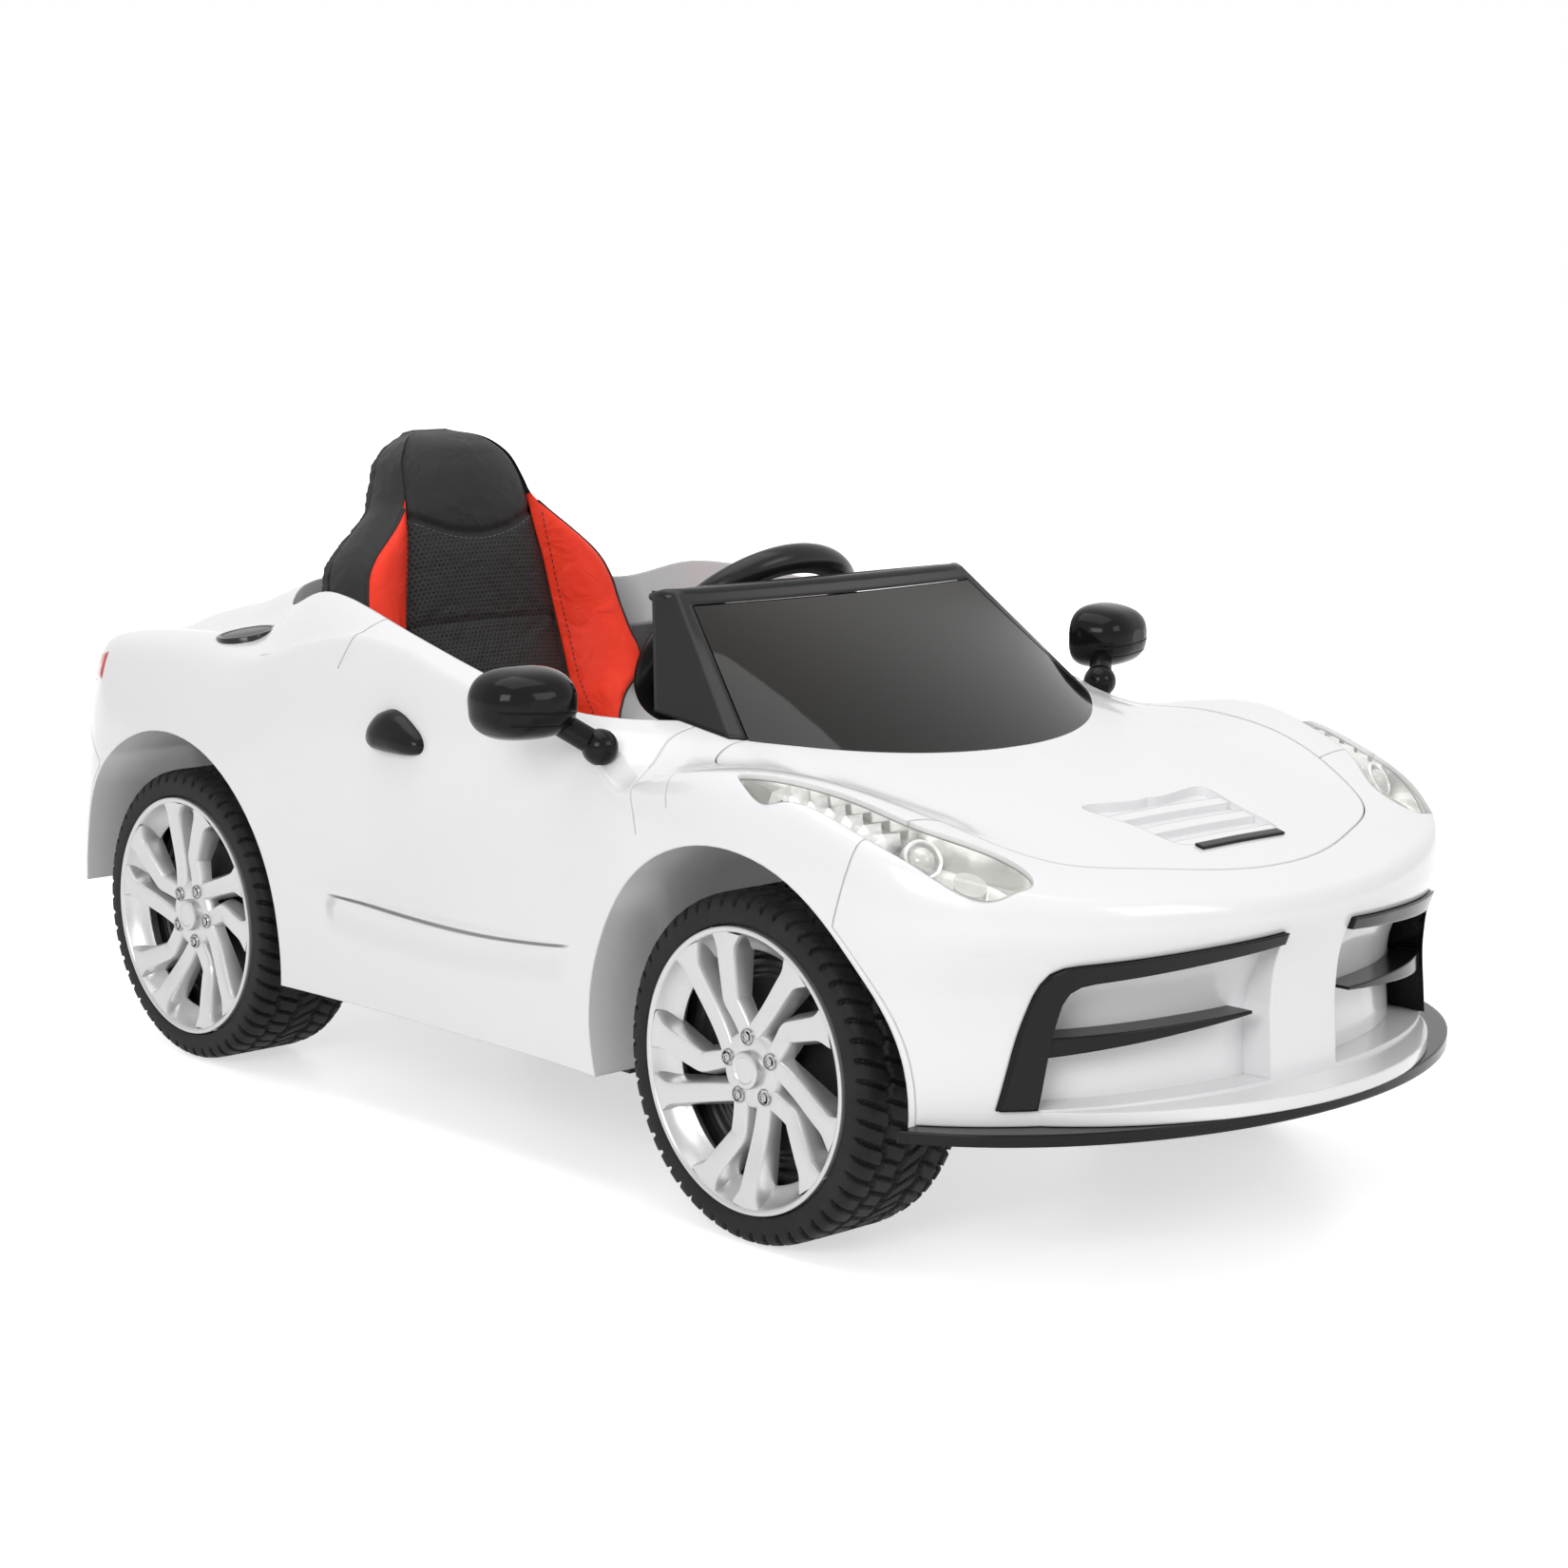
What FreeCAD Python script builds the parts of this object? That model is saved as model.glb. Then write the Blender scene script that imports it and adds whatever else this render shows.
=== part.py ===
import FreeCAD, Part
import math
import os
from FreeCAD import Vector

os.makedirs("parts", exist_ok=True)

# Electric ride-on car for one small child, in millimetres.
# X runs forward, Y to the left, Z up from the ground.
# The car is drawn from the middle of its wheelbase, and every piece is saved with the
# origin moved under the middle of the car's length.

# Wheels, axles and steering
WHEEL_BASE = 690.0
TYRE_RADIUS = 120.0
TYRE_OUTER_Y = 259.0
TYRE_WIDTH = 96.0
TYRE_WALL = 6.0
TYRE_SHOULDER = 11.0
RIM_RADIUS = 98.0
RIM_LIP = 7.0
RIM_PROUD = 2.0
SPOKE_PAIRS = 5
CENTRE_CAP_RADIUS = 13.0
CENTRE_CAP_PROUD = 5.0
LUG_RADIUS = 3.4
AXLE_RADIUS = 5.0
AXLE_END_Y = 245.0
RUNNING_CLEARANCE = 0.05
PART_CLEARANCE = 0.4
LOCK_NUT_RADIUS = 8.5
LOCK_NUT_LENGTH = 8.0
LOCK_NUT_OUTER_Y = 243.0
KINGPIN_Y = 146.0
KINGPIN_SLEEVE_RADIUS = 11.0
STEERING_ARM = 60.0
STEERING_CRANK = 40.0
STEERING_ARM_THICK = 8.0
STEERING_ARM_WIDTH = 16.0
TIE_ROD_THICK = 6.0
TIE_ROD_WIDTH = 16.0
TIE_ROD_PIN_RADIUS = 4.0
AXLE_BEAM_DEPTH = 22.0
AXLE_BEAM_BASE_Z = 60.0
LUG_PLATE = 8.0
LUG_PLATE_SPAN = 68.0

# Body shell
SILL_Z = 88.0
BODY_WALL = 3.5
FLANGE_DEPTH = 26.0
PANEL_GAP = 0.9
GROOVE_WIDTH = 1.4
GROOVE_DEPTH = 1.4
ARCH_RADIUS = 154.0
WELL_INNER_Y = 112.0
NOSE_X = 624.0
NOSE_ROUND_X = 430.0
NOSE_SQUARENESS = 2.12
TAIL_X = -588.0
TAIL_ROUND_X = -400.0
TAIL_SQUARENESS = 3.0
FRONT_BUMPER_BASE_Z = 114.0
REAR_BUMPER_BASE_Z = 128.0
LIP_FRONT_X = 643.0
LIP_BASE_Z = 114.0
LIP_THICK = 9.0
LIP_HALF_WIDTH = 246.0
LIP_REAR_X = 490.0
BUMPER_WELL_Y = 92.0
SPLITTER_THICK = 8.0
SPLITTER_SETBACK = 5.0
SPLITTER_HALF_WIDTH = 288.0
SPLITTER_WIDTH = 45.0
SPLITTER_REAR_X = 503.0
LED_RADIUS = 11.0
LED_HEIGHT = 10.0
LED_X = 516.0
LED_Y = 219.0

# Drive
MOTOR_RADIUS = 18.0
MOTOR_LENGTH = 60.0
MOTOR_X = -296.0
MOTOR_Z = 168.0
GEARBOX_RADIUS = 46.0
GEARBOX_WIDTH = 42.0
GEARBOX_LOBE = 27.0
AXLE_HOLE_RADIUS = 12.0
BUSH_WALL = 3.0
BRACKET_THICK = 10.0
BRACKET_WIDTH = 46.0
BATTERY_SIZE = (94.0, 151.0, 65.0)
BATTERY_X = -150.0
STRAP_THICK = 2.0
STRAP_WIDTH = 24.0
STRAP_FOOT = 10.0
CONTROL_BOX_SIZE = (90.0, 90.0, 30.0)
CONTROL_BOX_X = -262.0
WIRE_RADIUS = 3.0
WIRE_BEND = 18.0
WIRE_SIDE_Y = 95.0
WIRE_DASH_X = 285.0

# Cabin
FLOOR_THICK = 6.0
STEERING_WHEEL_X = 59.0
STEERING_WHEEL_Z = 366.0
STEERING_WHEEL_RADIUS = 86.0
STEERING_GRIP_RADIUS = 11.5
COLUMN_ANGLE = 42.0
COLUMN_RADIUS = 7.0
SEAT_PAN_Z = 172.0
SEAT_PAN_THICK = 4.0
SEAT_HALF_WIDTH = 150.0
PEDAL_WIDTH = 56.0
PEDAL_LENGTH = 96.0
PEDAL_THICK = 10.0
PEDAL_ANGLE = 38.0
BUTTON_RADIUS = 9.0
BUTTON_TRAVEL = 3.0
CHARGE_BORE_RADIUS = 2.75
CHARGE_BORE_DEPTH = 12.0

FRONT_AXLE_X = WHEEL_BASE / 2
REAR_AXLE_X = -WHEEL_BASE / 2
AXLE_Z = TYRE_RADIUS
FLOOR_Z = SILL_Z - FLOOR_THICK
floor_top = SILL_Z
TYRE_INNER_Y = TYRE_OUTER_Y - TYRE_WIDTH
BOX_CENTRE_X = (LIP_FRONT_X + TAIL_X) / 2
UP = Vector(0, 0, 1)
LEFT = Vector(0, 1, 0)
FORWARD = Vector(1, 0, 0)
FAR = 900.0
CUT_BASE_Z = 200.0
SIDE_CUT_Y = 180.0
NOSE_CUT_X = 480.0


def save(name, shape):
    """Write one piece with the origin under the middle of the car."""
    moved = shape.copy()
    moved.translate(Vector(-BOX_CENTRE_X, 0, 0))
    moved.exportStep("parts/" + name + ".step")


def box(x0, x1, y0, y1, z0, z1):
    """A block between two corners."""
    return Part.makeBox(x1 - x0, y1 - y0, z1 - z0, Vector(x0, y0, z0))


def across(radius, x, z, y0, y1):
    """A round bar that lies across the car."""
    return Part.makeCylinder(radius, y1 - y0, Vector(x, y0, z), LEFT)


def upright(radius, x, y, z0, z1):
    """A round bar that stands up."""
    return Part.makeCylinder(radius, z1 - z0, Vector(x, y, z0), UP)


def rod(start, end, radius):
    """A round bar from one point to another."""
    return Part.makeCylinder(radius, (end - start).Length, start, end - start)


def mirrored(shape):
    """The same piece on the other side of the car."""
    return shape.mirror(Vector(0, 0, 0), LEFT)


def pair(shape):
    """The piece and its twin on the other side, as two solids."""
    return Part.makeCompound([shape, mirrored(shape)])


def joined(half):
    """A left half and its mirror image as one solid."""
    return half.fuse(mirrored(half))


def one_solid(shape):
    """The largest solid of a shape."""
    return max(shape.Solids, key=lambda solid: solid.Volume)


def shrunk(points, distance):
    """A closed outline with each corner moved inwards along its bisector."""
    area = 0.0
    for (x0, y0), (x1, y1) in zip(points, points[1:] + points[:1]):
        area += x0 * y1 - x1 * y0
    side = 1.0 if area > 0 else -1.0
    moved = []
    count = len(points)
    for index, (x, y) in enumerate(points):
        before = points[index - 1]
        after = points[(index + 1) % count]
        first = (x - before[0], y - before[1])
        second = (after[0] - x, after[1] - y)
        first_length = math.hypot(*first)
        second_length = math.hypot(*second)
        normal_x = -first[1] / first_length - second[1] / second_length
        normal_y = first[0] / first_length + second[0] / second_length
        length = math.hypot(normal_x, normal_y)
        reach = side * distance * 2 / max(length * length, 1.0)
        moved.append((x + normal_x * reach, y + normal_y * reach))
    return moved


def prism(points, start, end, direction, smooth=True):
    """An outline carried along X, Y or Z; the outline is given in the other two axes."""
    if direction == "x":
        corners = [Vector(start, a, b) for a, b in points]
        travel = Vector(end - start, 0, 0)
    elif direction == "y":
        corners = [Vector(a, start, b) for a, b in points]
        travel = Vector(0, end - start, 0)
    else:
        corners = [Vector(a, b, start) for a, b in points]
        travel = Vector(0, 0, end - start)
    if smooth:
        outline = Part.BSplineCurve()
        outline.interpolate(corners, PeriodicFlag=True)
        wire = Part.Wire([outline.toShape()])
    else:
        wire = Part.makePolygon(corners + corners[:1])
    return Part.Face(wire).extrude(travel)


# The body's master surface: ribs run from the sill up the side, over a rounded shoulder and
# along the top to the spine. Each table gives (x or z, value) points of a smooth curve.
HALF_WIDTH = [(-400, 275), (-345, 278), (-250, 275), (-150, 268), (0, 264), (130, 264), (200, 268),
              (270, 279), (345, 284), (430, 280)]
SPINE_TOP = [(-600, 334), (-500, 354), (-425, 368), (-330, 396), (-235, 405), (-150, 399), (-62, 386),
             (50, 361), (150, 347), (235, 334), (335, 314), (468, 292), (546, 275), (590, 263), (625, 246)]
SHOULDER_Y = [(-600, 120), (-450, 140), (-330, 150), (-235, 198), (-150, 225), (-62, 243), (60, 249),
              (150, 247), (190, 243), (235, 220), (300, 198), (340, 176)]
SHOULDER_ROUND = [(-600, 18), (-500, 34), (-400, 38), (-300, 30), (-200, 24), (-120, 15), (150, 13),
                  (230, 16), (300, 30), (400, 36), (480, 34), (560, 26), (625, 20)]
FRONT_CREST_Z = [(170, 240), (200, 278), (235, 302), (280, 315), (320, 322), (350, 324), (400, 319),
                 (450, 307), (500, 290), (545, 271), (600, 246)]
FRONT_CREST_Y = [(170, 262), (260, 250), (345, 243), (450, 222), (545, 186), (600, 140)]
REAR_CREST_Z = [(-590, 306), (-540, 326), (-480, 341), (-400, 349), (-320, 352), (-260, 346), (-200, 330),
                (-150, 300)]
REAR_CREST_Y = [(-590, 190), (-480, 215), (-345, 228), (-200, 238)]
NOSE_INSET = [(88, 12), (120, 12), (170, 15), (205, 12), (225, 3), (240, 0), (260, 2)]
DOOR_INSET = [(88, 5), (125, 1), (165, 0), (220, 1), (270, 3), (310, 8), (340, 13), (370, 18), (400, 24)]
FENDER_INSET = [(88, 5), (150, 1), (220, 0), (260, 3), (290, 8), (320, 16)]
TAIL_INSET = [(88, 4), (117, 0), (180, 3), (230, 6), (270, 9), (300, 14), (330, 24)]
LEDGE_Z = [(-160, 167), (-129, 167), (-30, 164), (100, 169), (165, 178)]
SCOOP_TOP = [(-150, 172), (-129, 178), (-90, 215), (-50, 245), (0, 272), (60, 296), (110, 306), (170, 310)]
SCOOP_DEPTH = [(-135, 0), (-118, 7), (-80, 14), (0, 15), (70, 12), (130, 6), (172, 0)]
LOW_ROWS = [SILL_Z, 104, 124, 143, 156, 163, 167, 172, 182, 200]
HIGH_ROWS = [0.36, 0.7, 1.0]
LEDGE_ROWS = (124, 200)
LEDGE_EDGE = (-7, 3)
SCOOP_MIN_HEIGHT = 20.0
NOSE_BLEND = (440, 560)
TAIL_BLEND = (430, 520)
FRONT_FENDER_BLEND = (190, 290)
REAR_FENDER_BLEND = (160, 260)
MID_LEDGE_Z = 167.0
SIDE_STATIONS = [430, 395, 360, 325, 290, 258, 230, 206, 186, 164, 142, 120, 98, 76, 54, 32, 10, -12, -34,
                 -56, -78, -100, -122, -144, -172, -205, -240, -275, -310, -345, -375, -400]
SPINE_FRONT_X = 170.0
SPINE_REAR_X = -300.0
SPINE_LEAN = 40.0
END_STATIONS = 10
TOP_ROWS = 11
TOP_SPREAD = 1.15
SHOULDER_LOW = (0.22, 0.3)
SHOULDER_HIGH = (0.62, 0.03)
SHOULDER_PASSES = 3
SHOULDER_FALL = 1.35
SHOULDER_SOFT = 14.0
FRONT_CREST_FALL = 17.0
REAR_CREST_FALL = 12.0
CREST_REACH = 50.0
FRONT_VALLEY = 3.5
REAR_VALLEY = 5.0
CROWN_FALL = 5.0
CROWN_REACH = 200.0


def ease(low, high, value):
    """Rises smoothly from 0 at low to 1 at high."""
    part = min(1.0, max(0.0, (value - low) / (high - low)))
    return part * part * (3 - 2 * part)


def curve(knots, x):
    """Smooth curve through the knots that never overshoots them."""
    if x <= knots[0][0]:
        return knots[0][1]
    if x >= knots[-1][0]:
        return knots[-1][1]
    last = len(knots) - 1
    rises = [(knots[i + 1][1] - knots[i][1]) / (knots[i + 1][0] - knots[i][0]) for i in range(last)]

    def slope(index):
        if index == 0:
            return rises[0]
        if index == last:
            return rises[-1]
        if rises[index - 1] * rises[index] <= 0:
            return 0.0
        return 2 * rises[index - 1] * rises[index] / (rises[index - 1] + rises[index])

    span = max(i for i in range(last) if knots[i][0] <= x)
    width = knots[span + 1][0] - knots[span][0]
    t = (x - knots[span][0]) / width
    start = knots[span][1] * (1 + 2 * t) + width * slope(span) * t
    end = knots[span + 1][1] * (3 - 2 * t) - width * slope(span + 1) * (1 - t)
    return start * (1 - t) ** 2 + end * t * t


def soft_max(first, second, blend):
    """The larger of two heights, with a rounded valley where they meet."""
    return (first + second + math.sqrt((first - second) ** 2 + 4 * blend * blend)) / 2


def top_height(x, y):
    """Height of the body's top: hood, cowl and deck, with the fenders rising beside them."""
    beyond = y - curve(SHOULDER_Y, x)
    fall = SHOULDER_FALL * (beyond + math.hypot(beyond, SHOULDER_SOFT)) / 2
    height = curve(SPINE_TOP, x) - fall - CROWN_FALL * (y / CROWN_REACH) ** 2
    if x > FRONT_CREST_Z[0][0]:
        off = (y - curve(FRONT_CREST_Y, x)) / CREST_REACH
        height = soft_max(height, curve(FRONT_CREST_Z, x) - FRONT_CREST_FALL * off * off, FRONT_VALLEY)
    if x < REAR_CREST_Z[-1][0]:
        off = (y - curve(REAR_CREST_Y, x)) / CREST_REACH
        height = soft_max(height, curve(REAR_CREST_Z, x) - REAR_CREST_FALL * off * off, REAR_VALLEY)
    return height


def wall_inset(x, z):
    """How far the side stands in from the widest outline at a height."""
    nose = ease(*NOSE_BLEND, x)
    tail = ease(*TAIL_BLEND, -x)
    fender = max(ease(*FRONT_FENDER_BLEND, x), ease(*REAR_FENDER_BLEND, -x))
    side = curve(DOOR_INSET, z) * (1 - fender) + curve(FENDER_INSET, z) * fender
    side = side * (1 - nose) + curve(NOSE_INSET, z) * nose
    return side * (1 - tail) + curve(TAIL_INSET, z) * tail


def scoop(x, z):
    """Depth of the hollow pressed into the door above its ledge line."""
    ledge = curve(LEDGE_Z, x)
    below = ease(*LEDGE_EDGE, z - ledge)
    above = 1 - ease(0, 1, (z - ledge) / max(SCOOP_MIN_HEIGHT, curve(SCOOP_TOP, x) - ledge))
    return curve(SCOOP_DEPTH, x) * below * above


def end_point(step, steps, round_x, end_x, squareness):
    """Point of the rounded nose or tail in plan, from its middle (step 0) to the side."""
    angle = math.radians(90 * step / steps)
    along = math.cos(angle) ** (2 / squareness) if step > 1 else 1.0
    sideways = math.sin(angle) ** (2 / squareness) if step else 0.0
    return round_x + (end_x - round_x) * along, curve(HALF_WIDTH, round_x) * sideways


def stations():
    """Outline points with the spine point that each rib runs to, from nose to tail."""
    rows = []
    for step in range(END_STATIONS):
        x, y = end_point(step, END_STATIONS, NOSE_ROUND_X, NOSE_X, NOSE_SQUARENESS)
        rows.append((x, y, SPINE_FRONT_X - SPINE_LEAN * step / END_STATIONS))
    first = SPINE_FRONT_X - SPINE_LEAN
    last = SPINE_REAR_X + SPINE_LEAN
    for x in SIDE_STATIONS:
        part = (NOSE_ROUND_X - x) / (NOSE_ROUND_X - TAIL_ROUND_X)
        rows.append((x, curve(HALF_WIDTH, x), first + (last - first) * part))
    for step in range(END_STATIONS - 1, -1, -1):
        x, y = end_point(step, END_STATIONS, TAIL_ROUND_X, TAIL_X, TAIL_SQUARENESS)
        rows.append((x, y, SPINE_REAR_X + SPINE_LEAN * step / END_STATIONS))
    return rows


def rib(station, scooped):
    """Profile of one rib as (distance in from the outline, height) points."""
    x, y, spine_x = station
    reach = math.hypot(x - spine_x, y)
    radius = curve(SHOULDER_ROUND, x)

    def height(distance):
        part = distance / reach
        return top_height(x + (spine_x - x) * part, y * (1 - part))

    top = height(radius)
    for _ in range(SHOULDER_PASSES):
        top = height(wall_inset(x, top - radius) + radius)
    lift = curve(LEDGE_Z, x) - MID_LEDGE_Z
    levels = [z + (lift if LEDGE_ROWS[0] < z < LEDGE_ROWS[1] else 0.0) for z in LOW_ROWS]
    start = LOW_ROWS[-1]
    levels += [start + (top - radius - start) * part for part in HIGH_ROWS]
    profile = [(wall_inset(x, z) + (scoop(x, z) if scooped else 0.0), z) for z in levels]
    edge = profile[-1][0]
    profile.append((edge + SHOULDER_LOW[0] * radius, top - SHOULDER_LOW[1] * radius))
    upper = edge + SHOULDER_HIGH[0] * radius
    profile.append((upper, height(upper) - SHOULDER_HIGH[1] * radius))
    for row in range(TOP_ROWS):
        part = (row / (TOP_ROWS - 1)) ** TOP_SPREAD
        distance = edge + radius + (reach - edge - radius) * part
        profile.append((distance, height(distance)))
    return profile


def offset_profile(profile, inset):
    """A rib profile moved inwards along its normals, with its foot carried below the sill."""
    if inset == 0:
        return profile
    moved = []
    last = len(profile) - 1
    for index, (distance, z) in enumerate(profile):
        before = profile[max(index - 1, 0)]
        after = profile[min(index + 1, last)]
        run = after[0] - before[0]
        rise = after[1] - before[1]
        length = math.hypot(run, rise)
        sideways = inset * rise / length if index < last else 0.0
        moved.append((distance + sideways, z - inset * run / length))
    moved[0] = (moved[0][0], profile[0][1] - FLANGE_DEPTH)
    return moved


def shrunk_profile(profile, inset):
    """A rib profile drawn in as a whole: sideways and down by the inset at the shoulder."""
    shoulder = len(LOW_ROWS) + len(HIGH_ROWS) - 1
    edge = profile[shoulder][0]
    reach = profile[-1][0]
    top = profile[shoulder + 2][1]
    squeeze = (reach - edge - inset) / (reach - edge)
    lower = 1 - inset / (top - SILL_Z)
    moved = []
    for distance, z in profile:
        sideways = edge + inset + (distance - edge) * squeeze if distance > edge else distance + inset
        moved.append((sideways, SILL_Z + (z - SILL_Z) * lower))
    moved[-1] = (reach, moved[-1][1])
    moved[0] = (moved[0][0], SILL_Z - FLANGE_DEPTH)
    return moved


def clamped(count):
    """Knots and multiplicities of a cubic curve that starts and ends on its first and last pole."""
    knots = [float(i) for i in range(count - 2)]
    return knots, [4] + [1] * (count - 4) + [4]


def half_hull(inset, scooped, draw_in):
    """Left half of the body's closed volume, drawn in by the inset."""
    poles = []
    for station in stations():
        x, y, spine_x = station
        reach = math.hypot(x - spine_x, y)
        row = []
        for distance, z in draw_in(rib(station, scooped), inset):
            part = distance / reach
            row.append(Vector(x + (spine_x - x) * part, y * (1 - part), z))
        poles.append(row)
    u_knots, u_mults = clamped(len(poles))
    v_knots, v_mults = clamped(len(poles[0]))
    surface = Part.BSplineSurface()
    surface.buildFromPolesMultsKnots(poles, u_mults, v_mults, u_knots, v_knots, False, False, 3, 3)
    skin = surface.toShape()
    base_z = poles[0][0].z
    base = [e for e in skin.Edges if abs(e.BoundBox.ZMax - base_z) < 0.001]
    middle = [e for e in skin.Edges if e.BoundBox.YMax < 0.001]
    chord = Part.makeLine(poles[0][0], poles[-1][0])
    floor = Part.Face(Part.Wire(Part.sortEdges(base + [chord])[0]))
    wall = Part.Face(Part.Wire(Part.sortEdges(middle + [chord])[0]))
    shell = Part.makeShell([skin, floor, wall])
    shell.sewShape()
    return Part.makeSolid(shell)


outer = half_hull(0, True, offset_profile)
inner = half_hull(BODY_WALL, True, offset_profile)
deep = half_hull(FLANGE_DEPTH, False, shrunk_profile)
thick = outer.cut(deep)
skin = outer.cut(inner)


def shifted(shape, x=0.0, y=0.0, z=0.0):
    """A copy moved along the axes."""
    copy = shape.copy()
    copy.translate(Vector(x, y, z))
    return copy


# Openings and seams of the body. Plan outlines are (x, y), side outlines (x, z), front outlines (y, z).
COCKPIT_HALF = [(232, 0), (228, 100), (205, 180), (165, 222), (60, 232), (-60, 228), (-150, 210), (-230, 192),
                (-322, 160), (-353, 100), (-362, 0)]
HOOD_HALF = [(300, 0), (285, 100), (254, 180), (264, 210), (330, 216), (400, 208), (450, 198), (490, 184),
             (530, 160), (560, 110), (582, 50), (588, 0)]
LAMP_PLAN = [(345, 258), (385, 245), (430, 232), (470, 221), (500, 201), (525, 190), (547, 195), (550, 211),
             (538, 231), (515, 246), (480, 256), (440, 260), (400, 266), (360, 268)]
TAIL_LAMP_BOX = (-600, -486, 95, FAR, 300, 323)
FRONT_SEAM_SIDE = [(472, 340), (459, 276), (451, 242), (442, 180), (442, 40), (700, 40), (700, 340)]
REAR_SEAM_SIDE = [(-640, 297), (-540, 296), (-455, 238), (-442, 180), (-442, 40), (-640, 40)]
POCKET_FRONT = [(34, 226), (180, 217.8), (189, 216.6), (195.5, 213), (199, 206), (219, 124), (34, 126)]
GRILLE_INNER_FRONT = [(20, 219), (170, 205.2), (178, 203.6), (183.5, 199.6), (187, 192), (205, 100),
                      (20, 100)]
FIN_FRONT = [(50, 174), (193, 169.5), (195, 157), (50, 172)]
GROOVES_SIDE = [[(204, 345), (222, 318), (246, 284), (252, 270)], [(272, 318), (284, 292)],
                [(-104, 385), (-119, 358), (-126, 345)]]
VENT_HALF = [(470, 0), (469, 30), (466, 61), (508, 54), (545, 46), (546, 30), (547, 0)]
VENT_DEPTH = 6.0
VENT_SLATS = 3
SLAT_WIDTH = 11.0
SLAT_SUNK = 1.5
POCKET_BACK = 3.0
GRILLE_PROUD = 4.0
LAMP_DEPTH = 26.0
LAMP_HOLE_BASE_Z = 225.0
LAMP_WALL = 2.5


def both_sides(half):
    """A closed plan outline from its left half."""
    return half + [(x, -y) for x, y in reversed(half[1:-1])]


def well(radius, axle_x, y0, y1):
    """A cylinder on a wheel's axis."""
    return across(radius, axle_x, AXLE_Z, y0, y1)


cockpit_plan = both_sides(COCKPIT_HALF)
cockpit = prism(cockpit_plan, CUT_BASE_Z, FAR, "z")
cockpit_grown = prism(shrunk(cockpit_plan, -BODY_WALL), CUT_BASE_Z, FAR, "z")
hood_plan = both_sides(HOOD_HALF)
front_zone = prism(FRONT_SEAM_SIDE, -FAR, FAR, "y", smooth=False)
rear_zone = prism(REAR_SEAM_SIDE, -FAR, FAR, "y", smooth=False)
hood_hole = prism(shrunk(hood_plan, -PANEL_GAP), CUT_BASE_Z, FAR, "z")
lamp_hole = prism(shrunk(LAMP_PLAN, -PANEL_GAP / 2), LAMP_HOLE_BASE_Z, FAR, "z")
lamp_box = box(*TAIL_LAMP_BOX)
groove_floor = half_hull(GROOVE_DEPTH, True, offset_profile)


def groove(line):
    """A thin line pressed into the left side of the body, along a side outline."""
    right = [(x + GROOVE_WIDTH, z) for x, z in reversed(line)]
    blade = prism(line + right, SIDE_CUT_Y, FAR, "y", smooth=False)
    return blade.cut(groove_floor)


def make_body_shell():
    """Outer shell with its cockpit rim and wheel wells, moulded in one piece."""
    half = skin.cut(cockpit).cut(hood_hole).cut(lamp_hole).cut(lamp_box)
    half = half.cut(front_zone).cut(rear_zone)
    half = half.fuse(thick.common(cockpit_grown).cut(cockpit).cut(hood_hole))
    for axle_x in (FRONT_AXLE_X, REAR_AXLE_X):
        half = half.cut(well(ARCH_RADIUS, axle_x, WELL_INNER_Y, FAR))
        liner = well(ARCH_RADIUS + BODY_WALL, axle_x, WELL_INNER_Y - BODY_WALL, FAR)
        liner = liner.cut(well(ARCH_RADIUS, axle_x, WELL_INNER_Y, FAR)).common(outer)
        half = half.fuse(liner)
    half = half.cut(well(AXLE_HOLE_RADIUS, REAR_AXLE_X, 0, WELL_INNER_Y))
    half = half.cut(across(MOTOR_RADIUS + PANEL_GAP, MOTOR_X, MOTOR_Z, 0, WELL_INNER_Y))
    for line in GROOVES_SIDE:
        half = half.cut(groove(line))
    half = half.cut(box(-FAR, REAR_SEAM_SIDE[-2][0], -FAR, FAR, 0, REAR_BUMPER_BASE_Z))
    half = half.cut(box(FRONT_SEAM_SIDE[3][0], FAR, -FAR, FAR, 0, FRONT_BUMPER_BASE_Z - SPLITTER_THICK))
    return one_solid(joined(one_solid(half)))


def make_hood():
    """Bonnet panel between the fenders, with a sunk vent and its slats."""
    vent_plan = both_sides(VENT_HALF)
    hole = prism(vent_plan, CUT_BASE_Z, FAR, "z")
    tray_plan = prism(shrunk(vent_plan, -BODY_WALL), CUT_BASE_Z, FAR, "z")
    floor_top = shifted(outer, z=-VENT_DEPTH)
    floor_base = shifted(outer, z=-VENT_DEPTH - BODY_WALL)
    tray = outer.common(tray_plan).cut(floor_base).cut(hole.cut(floor_top))
    half = skin.common(prism(hood_plan, CUT_BASE_Z, FAR, "z")).cut(hole).fuse(tray)
    first = VENT_HALF[0][0]
    pitch = (VENT_HALF[-1][0] - first) / VENT_SLATS
    for index in range(VENT_SLATS):
        start = first + pitch * (index + 1) - SLAT_WIDTH - PANEL_GAP
        bar = box(start, start + SLAT_WIDTH, -FAR, FAR, 0, FAR)
        half = half.fuse(shifted(outer, z=-SLAT_SUNK).common(hole).common(bar).cut(floor_base))
    return one_solid(joined(one_solid(half)))


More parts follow.
